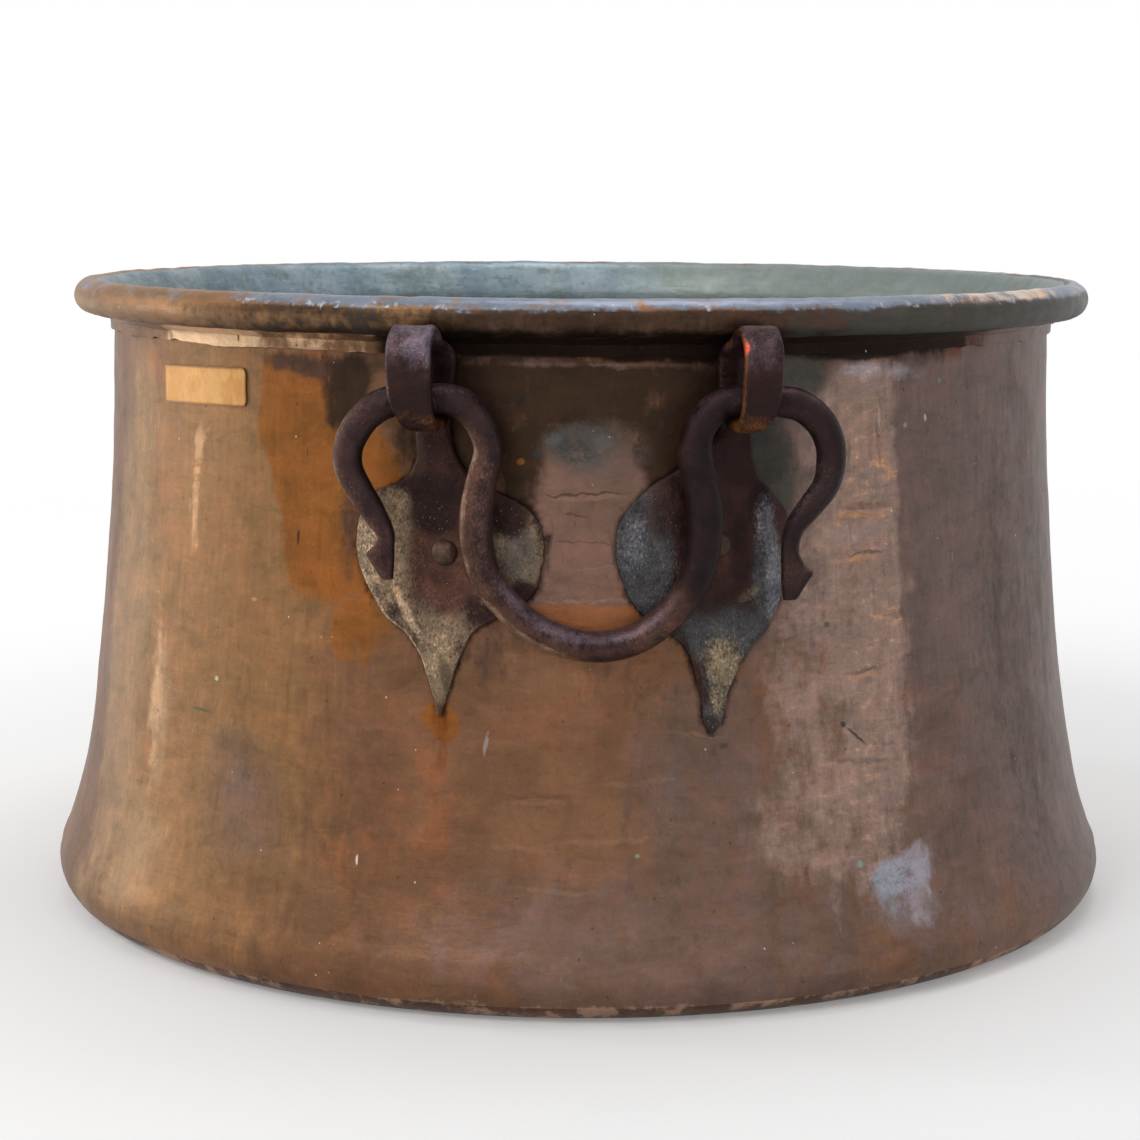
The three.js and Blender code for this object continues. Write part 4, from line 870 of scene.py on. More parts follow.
def stain_field(tint, azimuth, height, points):
    """The strongest stain of one tint at each place, with a ragged outline"""
    drift = 9 * MM * lumps(points, 42 * MM, 31) + 3.5 * MM * lumps(points, 13 * MM, 32)
    sway = 9 * MM * lumps(points, 42 * MM, 33) + 3.5 * MM * lumps(points, 13 * MM, 34)
    field = np.zeros(len(azimuth))
    for name, middle, level, half_width, half_height, turn, power, strength in STAINS:
        if name == tint:
            reach = min(1.0, half_width / 14, half_height / 14) * (1 if power < 6 else 0.2)
            across = turned_by(azimuth - math.radians(middle)) * wall_radius(level * MM) + drift * reach
            up = height - level * MM + sway * reach
            spot = patch(across, up, half_width * MM, half_height * MM, turn, power)
            field = np.maximum(field, strength * spot)
    for name, aside, level, half_width, half_height, turn, power, strength in SEAM_STAINS:
        if name == tint:
            reach = min(1.0, half_width / 14, half_height / 14) * (1 if power < 6 else 0.2)
            nearer = (azimuth - SEAM_AZIMUTH + math.pi / 2) % math.pi - math.pi / 2
            across = nearer * NECK_RADIUS - aside * MM + drift * reach
            up = height - level * MM + sway * reach
            spot = patch(across, up, half_width * MM, half_height * MM, turn, power)
            spot = spot * np.where(np.abs(turned_by(azimuth)) > math.pi / 2, 0.6, 1)
            field = np.maximum(field, strength * spot)
    return field


# The wall
def sheet_line():
    """The sheet's middle line up the wall, round the wire and down the hammered tail, and where it leaves the wall"""
    lean_top = 357 * MM
    heights = np.append(np.arange(EDGE_HEIGHT, lean_top, WALL_STEP), lean_top)
    wall = np.stack(off_wall(heights, -SHEET / 2), axis=1)
    angles = np.radians(np.arange(140, -101, -12))
    roll = np.stack([WIRE_RING + MID_ROLL * np.cos(angles), WIRE_HEIGHT + MID_ROLL * np.sin(angles)], axis=1)
    inner = NECK_RADIUS + GAP + SHEET / 2
    underside = WIRE_HEIGHT - MID_ROLL
    tail = np.array([
        (WIRE_RING - 7 * MM, underside - 1.6 * MM), (inner + 2.4 * MM, underside - 3.6 * MM),
        (inner + 0.3 * MM, TAIL_END + 6.4 * MM), (inner, TAIL_END + 3 * MM), (inner, TAIL_END),
    ])
    lean = np.array([(NECK_RADIUS + 1.1 * MM, 364.5 * MM)])
    corners = np.concatenate([wall[-3:], lean, roll, tail])
    far = path_lengths(corners)
    fine = smooth_rows(np.arange(far[2], far[-1], ROLL_STEP), far, corners)
    return np.concatenate([wall[:-1], fine, corners[-1:]]), len(wall) + 3


def seam_corners():
    """The dovetailed line, as sideways place and height, straight across the rim"""
    reach = SEAM_DEPTH / 2
    corners = [(0, -SEAM_STEP)]
    height = EDGE_HEIGHT + SEAM_STEP / 2
    while height < TAIL_END - SEAM_STEP:
        middle = height + SEAM_STEP / 2
        corners += [(-reach, height - SEAM_FLARE), (-reach, middle + SEAM_FLARE)]
        corners += [(reach, middle - SEAM_FLARE), (reach, height + SEAM_STEP + SEAM_FLARE)]
        height += SEAM_STEP
    corners += [(0, corners[-1][1]), (0, WIRE_HEIGHT + SEAM_STEP)]
    return np.array(corners)


def seam_distance(across, height):
    """How far each place is from the dovetailed line"""
    corners = seam_corners()
    nearest = np.full(len(across), 1.0)
    place = np.stack([across, height], axis=1)
    for start, end in zip(corners[:-1], corners[1:]):
        along = end - start
        share = np.clip((place - start) @ along / (along @ along), 0, 1)
        nearest = np.minimum(nearest, np.linalg.norm(place - start - share[:, None] * along, axis=1))
    return nearest


def seam_side(across, height):
    """True on the left of the dovetailed line"""
    step = (height - EDGE_HEIGHT - SEAM_STEP / 2) / SEAM_STEP
    wave = np.where(step % 1 < 0.5, -1, 1) * SEAM_DEPTH / 2
    straight = (step < 0) | (height > seam_corners()[-2][1])
    return across < np.where(straight, 0, wave)


def rim_fields(azimuth, turn, level, points):
    """Wear, grime and painted light on the rolled rim: its crest takes wear, a painted sky reflection and highlights,
    and its underside grime and painted shade. The strip of sheet below it is golden on the left, with a painted
    highlight on its lip and painted shadow to the right."""
    degrees = np.degrees(turned_by(azimuth))
    angle = np.degrees(turn)
    rough = lumps(points, 24 * MM, 41)
    fine = lumps(points, 8 * MM, 42)
    left = (1 - blend_step(degrees + 5 * rough, -50, -18)) * (1 - blend_step(-degrees, 100, 150))
    back = blend_step(np.abs(degrees), 95, 120)
    middle = 1 - blend_step(np.abs(degrees), 14, 26)
    right = blend_step(degrees + 4 * rough, 12, 28) * (1 - blend_step(degrees, 110, 130))
    crest = 1 - blend_step(np.abs(angle - 62 - 32 * back - 5 * rough - 3 * fine), 20, 42)
    lower = 1 - blend_step(np.abs(angle + 14), 8, 30)
    shiny = blend_step(degrees, -40, -34) * (1 - blend_step(degrees, -22, -14))
    ridge = 1 - blend_step(np.abs(angle - 38 - 8 * fine), 3, 15)
    under = 1 - blend_step(angle, -60, -10)
    strip = 1 - blend_step(angle, -112, -100)
    golden = blend_step(degrees, -54, -50) * (1 - blend_step(degrees, -39, -35))
    faded = blend_step(degrees, -39, -35) * (1 - blend_step(degrees + 2 * rough, -23, -19))
    # Where the strip below the roll is darkened: painted shadow over grime on the right, and at the rear.
    darkened_strip = blend_step(degrees, -24, -19) * (1 - blend_step(degrees + fine, 42, 54))
    darkened_strip = np.maximum(darkened_strip, blend_step(np.abs(degrees), 138, 152))
    lip = 1 - blend_step(level + 0.9 * MM * fine, TAIL_END + 0.8 * MM, TAIL_END + 2.2 * MM)
    glint = 1 - blend_step(np.abs(degrees - 49), 6, 16)
    mild = blend_step(degrees, -48, -34) * (1 - blend_step(degrees, -22, -6))
    return {
        # On the crest, the worn tint paints the sky's reflection over wear, and the glint and bright tints paint
        # highlights.
        "worn_and_sheen": crest * (1 - 0.85 * left) * (0.9 + 0.25 * rough + 0.35 * fine * right),
        "glint": np.maximum(ridge * (0.5 * shiny + 0.28 * (1 - left)) * (1 - strip), 0.6 * crest * glint) * (0.8 + 0.7 * fine),
        "bright": np.maximum(strip * (golden + 0.22 * faded), crest * glint * (0.42 + 0.2 * fine)),
        "tan": np.maximum(left * np.maximum(0.2, 0.75 * lower) * (1 - under), 0.75 * mild * lower) * (1 - strip)
        + 0.4 * strip * (1 - darkened_strip),
        "green": np.maximum(right * (0.85 + 0.4 * rough), 0.3 * mild) * (1 - crest) * (1 - strip),
        "ochre": 0.9 * (1 - right) * (1 - strip),
        "mauve": strip * blend_step(degrees, 30, 44) * (1 - darkened_strip),
        # The shade tint paints shade on the lower side of the roll; the soot tint paints shadow under it over grime.
        "shade": (1 - left) * (1 - crest) * 0.95 * (1 - 0.6 * mild) * (1 - strip),
        "soot_and_shade": np.maximum(0.85 * under * (1 - strip) * (1 - 0.6 * left), 1.25 * strip * darkened_strip),
        "olive": np.maximum(middle * (1 - crest) * 0.5, 0.7 * mild * (1 - crest) * (1 - strip)),
        # The edge tint paints a highlight along the strip's lower lip.
        "edge": strip * lip * faded * 0.8,
        "nicks": strip * (golden + faded),
    }


def make_wall():
    line, rolled_from = sheet_line()
    slope = np.gradient(line, axis=0)
    slope /= np.linalg.norm(slope, axis=1)[:, None]
    outward = np.stack([slope[:, 1], -slope[:, 0]], axis=1)
    azimuths = SEAM_AZIMUTH + np.arange(COLUMNS) * 2 * math.pi / COLUMNS
    rows = len(line)
    azimuth = np.tile(azimuths, rows)
    row = np.repeat(np.arange(rows), COLUMNS)
    radius, level = line[row].T
    turn = np.arctan2(level - WIRE_HEIGHT, radius - WIRE_RING)
    turn = np.where((turn < 0) & (row < rolled_from + 8), turn + 2 * math.pi, turn)
    flat = at_azimuth(radius, level, azimuth)
    rolled = row >= rolled_from
    nearer = (azimuth - SEAM_AZIMUTH + math.pi / 2) % math.pi - math.pi / 2
    across = nearer * NECK_RADIUS
    seam = seam_distance(across, level) * np.where(seam_side(across, level), -1, 1)
    joint = (1 - blend_step(np.abs(seam), 3 * MM, 7 * MM)) * (1 - blend_step(level, 300 * MM, 335 * MM))
    relief = dents(azimuth, level) + 0.3 * MM * joint * blend_step(level, EDGE_HEIGHT, 40 * MM)
    curl = (0.4 * lumps(flat, 17 * MM, 11) + 0.3 * lumps(flat, 7 * MM, 12)) * MM
    relief = np.where(rolled, curl, relief)
    ragged = (1.1 * lumps(flat, 15 * MM, 13) + 0.7 * lumps(flat, 5 * MM, 14)) * MM
    ending = rolled * (1 - blend_step(level, TAIL_END, TAIL_END + 6 * MM))
    level = level + ragged * ending
    relief = relief * (1 - ending)
    surfaces = []
    for side in (0.5, -0.5):
        proud = np.where(rolled & (side > 0), 0, relief)
        reach = (side * SHEET + np.where(rolled, -proud, proud))[:, None] * outward[row]
        surfaces.append(at_azimuth(radius + reach[:, 0], level + reach[:, 1], azimuth))
    points = np.concatenate(surfaces)
    middle = (np.arange(COLUMNS) + 0.5) * 2 * math.pi / COLUMNS
    cell_across = ((middle + math.pi / 2) % math.pi - math.pi / 2) * NECK_RADIUS
    cell_height = (line[:-1, 1] + line[1:, 1]) / 2
    grid_height, grid_across = np.meshgrid(cell_height, cell_across, indexing="ij")
    left = seam_side(grid_across, grid_height)
    past = np.abs(turned_by(middle)) > math.pi / 2
    front = np.where(past[None, :], ~left, left)
    tinned = np.where(rolled, blend_step(np.degrees(turn), 96, 130), 1)
    tin = np.concatenate([np.zeros(len(row)), tinned])
    rim = rim_fields(azimuth, turn, level, flat)
    right_side = blend_step(points[:, 0] / MM, -120, 160)
    combed = 0.12 + 0.38 * blend_step(np.abs(np.degrees(turned_by(azimuth)) - 4), 14, 40)
    for name, chosen in (("front_wall", front), ("rear_wall", ~front)):
        faces = sheet_faces((rows, COLUMNS), chosen)
        kept, faces, used = used_only(points, faces)
        piece = make_piece(name, kept, faces, "copper", "vessel", [f"{name}_sheet"])
        flat_used = used % len(row)
        outside = used < len(row)
        on_rim = rolled[flat_used] & ~outside
        for tint in [tint[0] for tint in TINTS] + ["nicks"]:
            field = np.zeros(len(used))
            if tint in {stain[0] for stain in STAINS + SEAM_STAINS}:
                stained = stain_field(tint, azimuth[flat_used], level[flat_used], flat[flat_used])
                field = np.where(outside & ~rolled[flat_used], stained, 0)
            if tint == "nicks":
                amber = patch(turned_by(azimuth + math.radians(34)) * NECK_RADIUS, level - 290 * MM,
                              44 * MM, 60 * MM, 0, 3)
                field = np.where(outside, 0.8 * amber[flat_used], 0)
            # The dark halo round the leaves is dirt with painted shadow beside their edges.
            if tint == "soot_and_shade":
                near = leaf_dirt_and_shadow(azimuth[flat_used], level[flat_used])
                field = np.maximum(field, np.where(outside & ~rolled[flat_used], 0.6 * near, 0))
            if tint in rim:
                field = np.where(on_rim, rim[tint][flat_used], field)
            add_field(piece, tint, field)
        add_field(piece, "seam", seam[flat_used])
        add_field(piece, "tin", tin[used])
        add_field(piece, "wash", right_side[used])
        add_field(piece, "roll", rolled[flat_used] & (turn[flat_used] > -1.9))
        add_field(piece, "combed", combed[flat_used])


def make_pan():
    """The flat base, its rounded edge and the part that stands up inside the wall"""
    arc_end = math.asin((EDGE_HEIGHT - GAP - CORNER_RADIUS) / CORNER_RADIUS)
    angles = np.linspace(-math.pi / 2, arc_end, 9)
    middle = CORNER_RADIUS - SHEET / 2
    arc = np.stack([CORNER_CENTRE + middle * np.cos(angles), CORNER_RADIUS + middle * np.sin(angles)], axis=1)
    heights = np.arange(EDGE_HEIGHT + 2 * MM, PAN_TOP, WALL_STEP)
    stand = np.stack(off_wall(heights, -SHEET * 1.5 - GAP), axis=1)
    base_rows = 110
    base = np.stack([np.linspace(1.5 * MM, arc[0, 0], base_rows), np.full(base_rows, SHEET / 2)], axis=1)
    line = np.concatenate([base[:-1], arc, stand])
    slope = np.gradient(line, axis=0)
    slope /= np.linalg.norm(slope, axis=1)[:, None]
    outward = np.stack([slope[:, 1], -slope[:, 0]], axis=1)
    columns = 360
    azimuth = np.tile(np.arange(columns) * 2 * math.pi / columns, len(line))
    row = np.repeat(np.arange(len(line)), columns)
    radius, level = line[row].T
    flat = at_azimuth(radius, level, azimuth)
    blows = hammer_marks(flat[:, 0] + 1, flat[:, 1] + 1, 24 * MM, 23)
    hollow = np.abs(0.5 * lumps(flat, 60 * MM, 21) + 0.3 * lumps(flat, 20 * MM, 22) - 0.3 * blows) * MM
    surfaces = []
    for side in (0.5, -0.5):
        depth = 0 if side > 0 else 1
        reach = (side * SHEET - depth * hollow)[:, None] * outward[row]
        surfaces.append(at_azimuth(radius + reach[:, 0], level + reach[:, 1], azimuth))
    points = np.concatenate(surfaces)
    faces = sheet_faces((len(line), columns), np.ones((len(line) - 1, columns), bool))
    piece = make_piece("base_pan", points, faces, "copper", "vessel", ["floor_pan"])
    outside = np.arange(len(points)) < len(row)
    around = np.concatenate([level, level])
    add_field(piece, "tin", np.where(outside, 0, 1))
    add_field(piece, "wash", np.where(outside, 0, 0.4 + 0.4 * np.concatenate([blows, blows])))
    add_field(piece, "shade", np.where(outside, 0.7, 0))
    add_field(piece, "soot_and_shade", np.where(outside & (around < 2 * MM), 0.8, 0))
    worn_and_sheen = np.concatenate([0.45 + 0.45 * lumps(flat, 9 * MM, 24)] * 2)
    add_field(piece, "edge", np.where(outside & (around > 2 * MM), worn_and_sheen, 0))
    add_field(piece, "seam", np.full(len(points), 0.1))


def on_wall_frame(azimuth, height):
    """A place on the dented wall with its sideways, up and outward directions"""
    outward, upward = wall_normal(height)
    origin = at_azimuth(wall_radius(height), height, azimuth)
    aside = np.array([math.cos(azimuth), math.sin(azimuth), 0])
    out = at_azimuth(outward, upward, azimuth)
    up = at_azimuth(-upward, outward, azimuth)
    return origin, aside, up, out


# The ears: a leaf and a neck that lie on the wall, and an eye that curls over the bar
def eye_rows(ear):
    """Rows along the eye's strap: its radius, height, inner and outer edge, thickness and edge thickness"""
    eye_azimuth = math.atan2(ear["eye_x"], AXIS_Y)
    axis_radius = AXIS_Y / math.cos(eye_azimuth)
    edge_azimuth = eye_azimuth + ear["eye_width"] / 2 / axis_radius
    front = (AXIS_Y + BAR_RADIUS + EYE_PLAY) / math.cos(edge_azimuth) + STRAP
    bottom = AXIS_HEIGHT - BAR_RADIUS - GAP - STRAP_END
    top = AXIS_HEIGHT + EYE_RISE
    face = float(wall_radius(AXIS_HEIGHT)) + GAP
    under_roll = WIRE_HEIGHT - ROLL_RADIUS
    path = np.array([
        (face, AXIS_HEIGHT), (face, AXIS_HEIGHT + 8 * MM), (face + 2 * MM, AXIS_HEIGHT + 17 * MM),
        (WIRE_RING - 6 * MM, under_roll - 6 * MM), (WIRE_RING + 2 * MM, under_roll - 2 * MM),
        (WIRE_RING + 10 * MM, under_roll + 0.4 * MM), (WIRE_RING + 16 * MM, top - 2.6 * MM),
        (front - 10 * MM, top), (front - 3.5 * MM, top - 5 * MM), (front, top - 14 * MM),
        (front, AXIS_HEIGHT + 12 * MM), (front, AXIS_HEIGHT), (front - 3 * MM, AXIS_HEIGHT - 8.5 * MM),
        (front - 9.5 * MM, bottom + 1.2 * MM), (axis_radius, bottom), (axis_radius - 8 * MM, bottom + 1 * MM),
        (face + STRAP + GAP, bottom + 4.5 * MM),
    ])
    far = path_lengths(path)
    rows = np.concatenate([path, np.array(EYE_SHARES)], axis=1)
    places = even_steps(0, far[-1], RING_STEP)
    radius, height, share, thickness, lean = smooth_rows(places, far, rows).T
    half = share * ear["eye_width"]
    shift = (radius - axis_radius) * math.tan(EYE_TWIST) * blend_step(places, 0, 30 * MM)
    return np.stack([radius, height, shift - lean - half, shift - lean + half, thickness, thickness * 0.8], axis=1)


def leaf_rows(ear):
    """The same rows up the leaf and the neck, to the axis's height"""
    outline = ear["outline"] + [(0, -0.4 * ear["eye_width"] / MM, 0.4 * ear["eye_width"] / MM)]
    drops = np.array([row[0] for row in outline]) * MM
    lowest = drops[0]
    heights = even_steps(0, lowest, RING_STEP)
    inner, outer = smooth_rows(heights, lowest - drops, np.array([row[1:] for row in outline]) * MM).T
    drop = lowest - heights
    up = blend_step(-drop, -63 * MM, -18 * MM)
    point = blend_step(heights, -12 * MM, 45 * MM)
    middle = (LEAF_EDGE + (LEAF - LEAF_EDGE) * point) * (1 - up) + STRAP * up
    edge = LEAF_EDGE * (1 - up) + STRAP * 0.8 * up
    radius, height = off_wall(AXIS_HEIGHT - drop, GAP)
    return np.stack([radius, height, inner, outer, middle, edge], axis=1)[:-1]


def strap_section(half, middle, edge):
    """Shares of the width and depths round a strap's section: its crowned face, its far edge, its back and its
    near edge"""
    corner = min(0.45 * edge, 0.45 * half)
    flat = half - corner
    across = np.linspace(-1, 1, SECTION_TOP)
    top = np.stack([across * flat, edge + (middle - edge) * (1 - np.abs(across) ** 1.6)], axis=1)
    angles = np.linspace(math.pi / 2, -math.pi / 2, 2 * CORNER_STEPS + 1)[1:-1]
    lift = np.where(angles > 0, edge - corner, corner)
    far_edge = np.stack([flat + corner * np.cos(angles), lift + corner * np.sin(angles)], axis=1)
    back = np.stack([np.linspace(flat, -flat, SECTION_BACK), np.zeros(SECTION_BACK)], axis=1)
    near_edge = far_edge[::-1] * np.array([-1, 1])
    return np.concatenate([top, far_edge, back, near_edge])


# Hammer work on the leaves: side, drop, half-width, half-height and tilt, then how far it stands proud
LEAF_WORK = {
    "left": [
        (13, 115, 3.5, 18, -31, 1.6), (18, 104, 7, 6, 0, -1.2), (-4, 96, 9, 20, 0, -0.8), (-40, 88, 12, 16, 0, -0.7),
        (36, 80, 8, 18, 0, 0.8), (-6, 142, 5, 16, 0, 0.9), (30, 62, 10, 6, -30, 0.8), (3, 132, 3, 12, 10, -0.8),
    ],
    "right": [
        (5, 93.5, 8, 2, -12, -0.9), (-45, 85, 12, 18, 0, -0.8), (-14, 108, 11, 14, 0, -0.9), (18, 75, 6, 18, 0, 0.9),
        (-11, 138, 5, 16, 0, 0.9), (-30, 62, 10, 8, 20, 0.6), (6, 108, 4, 14, -20, 0.8),
    ],
}
# Wear and tint on the leaves, with painted highlights on raised, lit parts in the tan, ember and ridge rows: field,
# side, drop, half-width, half-height, tilt and strength
LEAF_TINTS = {
    "left": [
        ("bare", 30, 84, 26, 36, 0, 1.0), ("bare", -42, 84, 22, 30, 0, 0.9), ("bare", -4, 142, 16, 32, 0, 0.95),
        ("bare", 24, 60, 16, 14, -35, 0.8), ("bare", 0, 120, 28, 18, 0, 0.7), ("tan", 36, 80, 9, 20, 0, 0.5),
        ("tan", 14, 112, 3, 20, -31, 0.8), ("ember", 16, 110, 2.5, 16, -31, 0.9), ("blue", -46, 84, 14, 22, 0, 0.6),
        ("dark", -50, 101, 10, 7, 20, 1.0), ("rust", -6, 84, 22, 34, 0, 1.1), ("rust", -8, 103, 15, 13, 0, 0.9), ("bare", -6, 122, 20, 12, 0, 0.9),
        ("dark", -2, 56, 17, 22, 0, 1.0), ("dark", -6, 94, 10, 8, 0, 0.5), ("dark", -24, 70, 9, 30, 0, 0.8),
        ("dark", -40, 63, 14, 12, 0, 0.9), ("dark", -10, 150, 4, 22, -14, 0.5), ("straw", 33, 90, 8, 14, 0, 0.5),
        ("olive", 11, 32, 4, 14, 0, 0.8), ("rust", 0, 30, 16, 22, 0, 0.8), ("dark", -4, 30, 12, 20, 0, 0.6),
        ("rust", -6, 168, 8, 8, 0, 0.7), ("straw", -6, 134, 8, 16, 0, 0.5), ("dark", 10, 132, 3, 14, 18, 0.6),
    ],
    "right": [
        ("blue", -50, 85, 20, 42, 0, 1.1), ("blue", 17, 94, 11, 34, 0, 0.8), ("blue", -8, 124, 28, 18, 0, 1.0),
        ("blue", -6, 146, 16, 20, 0, 0.8), ("dark", -14, 66, 22, 34, 0, 0.45), ("dark", -14, 104, 16, 16, 0, 0.6), ("dark", 13, 58, 9, 18, 0, 0.8),
        ("dark", 3, 84, 9, 40, 0, 0.6), ("straw", -7, 141, 12, 17, 14, 0.75), ("straw", -10.5, 156, 6, 12, 0, 0.5), ("blue", -13, 166, 8, 14, 0, 0.7), ("straw", 6, 104, 8, 4, 25, 0.5),
        ("rust", -40, 60, 13, 15, 0, 0.5), ("dark", -36, 62, 14, 16, 0, 0.6), ("rust", -12, 78, 13, 28, 0, 0.6), ("dark", 0, 30, 18, 24, 0, 0.8),
        ("ridge", 22, 96, 6, 26, 0, 0.9), ("ridge", 17, 66, 7, 16, 0, 0.6), ("dark", -27, 140, 4, 22, 10, 0.8),
        ("dark", -15, 172, 7, 7, 0, 0.5), ("ridge", -54, 74, 8, 20, 0, 0.5),
    ],
}


def leaf_fields(name, side, drop, shape):
    """Tints over the leaf and the eye, at each point of the ear"""
    fields = {layer: np.zeros(shape) for layer, *_ in LEAF_LAYERS}
    for layer, aside, down, half_wide, half_high, turn, strength in LEAF_TINTS[name]:
        spot = strength * patch(side - aside * MM, down * MM - drop, half_wide * MM, half_high * MM, turn)
        fields[layer] = np.maximum(fields[layer], spot)
    return fields


def make_ear(prefix, ear_name, half_turn):
    ear = EARS[ear_name]
    leaf, eye = leaf_rows(ear), eye_rows(ear)
    rows = np.concatenate([leaf, eye])
    places = rows[:, :2]
    along = np.gradient(places, axis=0)
    along /= np.linalg.norm(along, axis=1)[:, None]
    normal = np.stack([along[:, 1], -along[:, 0]], axis=1)
    travel = path_lengths(places)
    on_eye = blend_step(travel - travel[len(leaf)], -5 * MM, 25 * MM)
    sections = np.array([strap_section((outer - inner) / 2, middle, edge) for _, _, inner, outer, middle, edge in rows])
    centre = (rows[:, 2] + rows[:, 3]) / 2
    side = centre[:, None] + sections[:, :, 0]
    depth = sections[:, :, 1]
    half = (rows[:, 3] - rows[:, 2])[:, None] / 2
    rim_share = np.clip(sections[:, :, 0] / np.maximum(half, MM), -1, 1)
    chart = np.stack([side, np.broadcast_to(travel[:, None], side.shape), np.zeros(side.shape)], axis=-1)
    seed = 50 + 7 * (ear_name == "right")
    jitter = 0.5 * MM * lumps(chart, 9 * MM, seed) * np.sign(rim_share) * blend_step(np.abs(rim_share), 0.6, 1)
    side = side + jitter * (1 - 0.6 * on_eye[:, None])
    radius = places[:, :1] + normal[:, :1] * depth
    height = places[:, 1:] + normal[:, 1:] * depth
    eye_azimuth = math.atan2(ear["eye_x"], AXIS_Y)
    azimuth = ear["side"] * (eye_azimuth + side / radius)
    bulge = dents(azimuth, np.minimum(height, AXIS_HEIGHT)) * (1 - on_eye[:, None])
    radius = radius + bulge * normal[:, :1]
    height = height + bulge * normal[:, 1:]
    rings = at_azimuth(radius, height, azimuth)
    drop = AXIS_HEIGHT - height
    blows = hammer_marks(chart[..., 0] + 0.5, chart[..., 1], 12 * MM, seed + 1)
    relief = 0.8 * lumps(chart, 19 * MM, seed + 2) + 0.35 * lumps(chart, 7 * MM, seed + 3) + 0.7 * blows - 0.2
    for aside, down, half_wide, half_high, turn, proud in LEAF_WORK[ear_name]:
        spot = patch(side - aside * MM, down * MM - drop, half_wide * MM, half_high * MM, turn)
        relief = relief + proud * spot * (1 - on_eye[:, None])
    rivet_side, rivet_drop = ear["rivet"]
    seat = patch(side - rivet_side, drop - rivet_drop, 9 * MM, 9 * MM)
    front_face = blend_step(depth, 0.8 * MM, 2 * MM)
    weight = np.where(on_eye[:, None] < 0.5, front_face * (1 - seat), 0.75 - 0.5 * front_face)
    normals, way = ring_normals(rings)
    rings = rings + normals * (relief * weight * MM)[..., None]
    points = rings.reshape(-1, 3)
    points = half_turned(points) if half_turn else points
    node = f"{prefix}_{ear_name}_ear"
    piece = make_piece(f"{node}_forging", points, tube_faces(rings, way), "ear", "vessel", [node])
    fields = leaf_fields(ear_name, side, drop, side.shape)
    eye_share = np.broadcast_to(on_eye[:, None], side.shape)
    # A painted sheen on the top of each eye.
    crest = blend_step(height, AXIS_HEIGHT + 6 * MM, AXIS_HEIGHT + 28 * MM) * eye_share
    patchy = 0.7 + 0.5 * lumps(rings, 12 * MM, seed + 5)
    fields["sheen"] = np.maximum(fields["sheen"], (0.7 if ear_name == "left" else 0.4) * crest * patchy)
    low = (1 - blend_step(height, AXIS_HEIGHT + 2 * MM, AXIS_HEIGHT + 34 * MM)) * eye_share
    fields["dark"] = np.maximum(fields["dark"] * (1 - eye_share), low * 0.8)
    spot = blend_step(-rim_share, 0.72, 0.86) * patch(height - AXIS_HEIGHT - 28 * MM, radius - AXIS_Y - 26 * MM,
                                                      4 * MM, 8 * MM)
    red = spot * eye_share * (node == "front_right_ear")
    left_edge = blend_step(-ear["side"] * rim_share, 0.87, 0.97)
    in_front = blend_step(radius, AXIS_Y, AXIS_Y + 10 * MM) * eye_share
    lowest = in_front * (1 - blend_step(height, AXIS_HEIGHT - 11 * MM, AXIS_HEIGHT - 3 * MM)) * patchy
    for layer, values in fields.items():
        if layer not in ("sheen", "dark"):
            values = values * (1 - eye_share)
        # On the left ear, tan paints a highlight along the lit left edge of the leaf and eye.
        if layer == "tan":
            lit = left_edge * (ear_name == "left") * np.where(eye_share > 0.5, 0.3, blend_step(drop, 80 * MM, 100 * MM))
            values = np.maximum(values, 0.8 * lit)
        # Ember is orange-brown rust at the eyes' lower front, and on the right eye a painted highlight along its lit
        # left edge.
        if layer == "ember":
            edge = left_edge * in_front * (ear_name == "right")
            values = np.maximum(values, np.maximum(0.7 * edge * patchy, 0.6 * lowest))
        add_field(piece, layer, red if layer == "red" else values)
    bare = np.maximum.reduce([fields["bare"], fields["blue"], fields["ridge"]]) * (1 - eye_share)
    gritty = np.clip(bare + 0.6 * fields["dark"] + 0.45 * fields["rust"], 0, 1)
    add_field(piece, "grit", gritty * (1 - 0.8 * eye_share))


# Rivets and roves
def wrought_round(name, profile, azimuth, height, nodes, half_turn, rough, seed):
    """A turned piece with hammered faces, seated square to the wall. Its profile counts outwards from the wall,
    and a proud share says how much of the hammering each row takes."""
    origin, aside, up, out = on_wall_frame(azimuth, height)
    origin = origin + out * float(dents(np.array([azimuth]), np.array([height]))[0])
    profile = np.array(profile)
    far = path_lengths(profile[:, :2])
    places = even_steps(0, far[-1], 0.45 * MM)
    radius = np.interp(places, far, profile[:, 0])
    depth = np.interp(places, far, profile[:, 1])
    share = np.interp(places, far, profile[:, 2])
    turn = np.arange(ROUND_COLUMNS) * 2 * math.pi / ROUND_COLUMNS
    local = np.stack(np.broadcast_arrays(
        radius[:, None] * np.cos(turn), radius[:, None] * np.sin(turn), depth[:, None]), axis=-1)
    beaten = 0.6 * lumps(local, 3.5 * MM, seed) + 0.6 * lumps(local, 7 * MM, seed + 1)
    normals, way = ring_normals(local)
    local = local + normals * (beaten * share[:, None] * rough)[..., None]
    rings = origin + local[..., :1] * aside + local[..., 1:2] * up + local[..., 2:] * out
    rings = half_turned(rings) if half_turn else rings
    normals, way = ring_normals(rings)
    return make_piece(name, rings.reshape(-1, 3), tube_faces(rings, way), "rivet", "vessel", nodes)


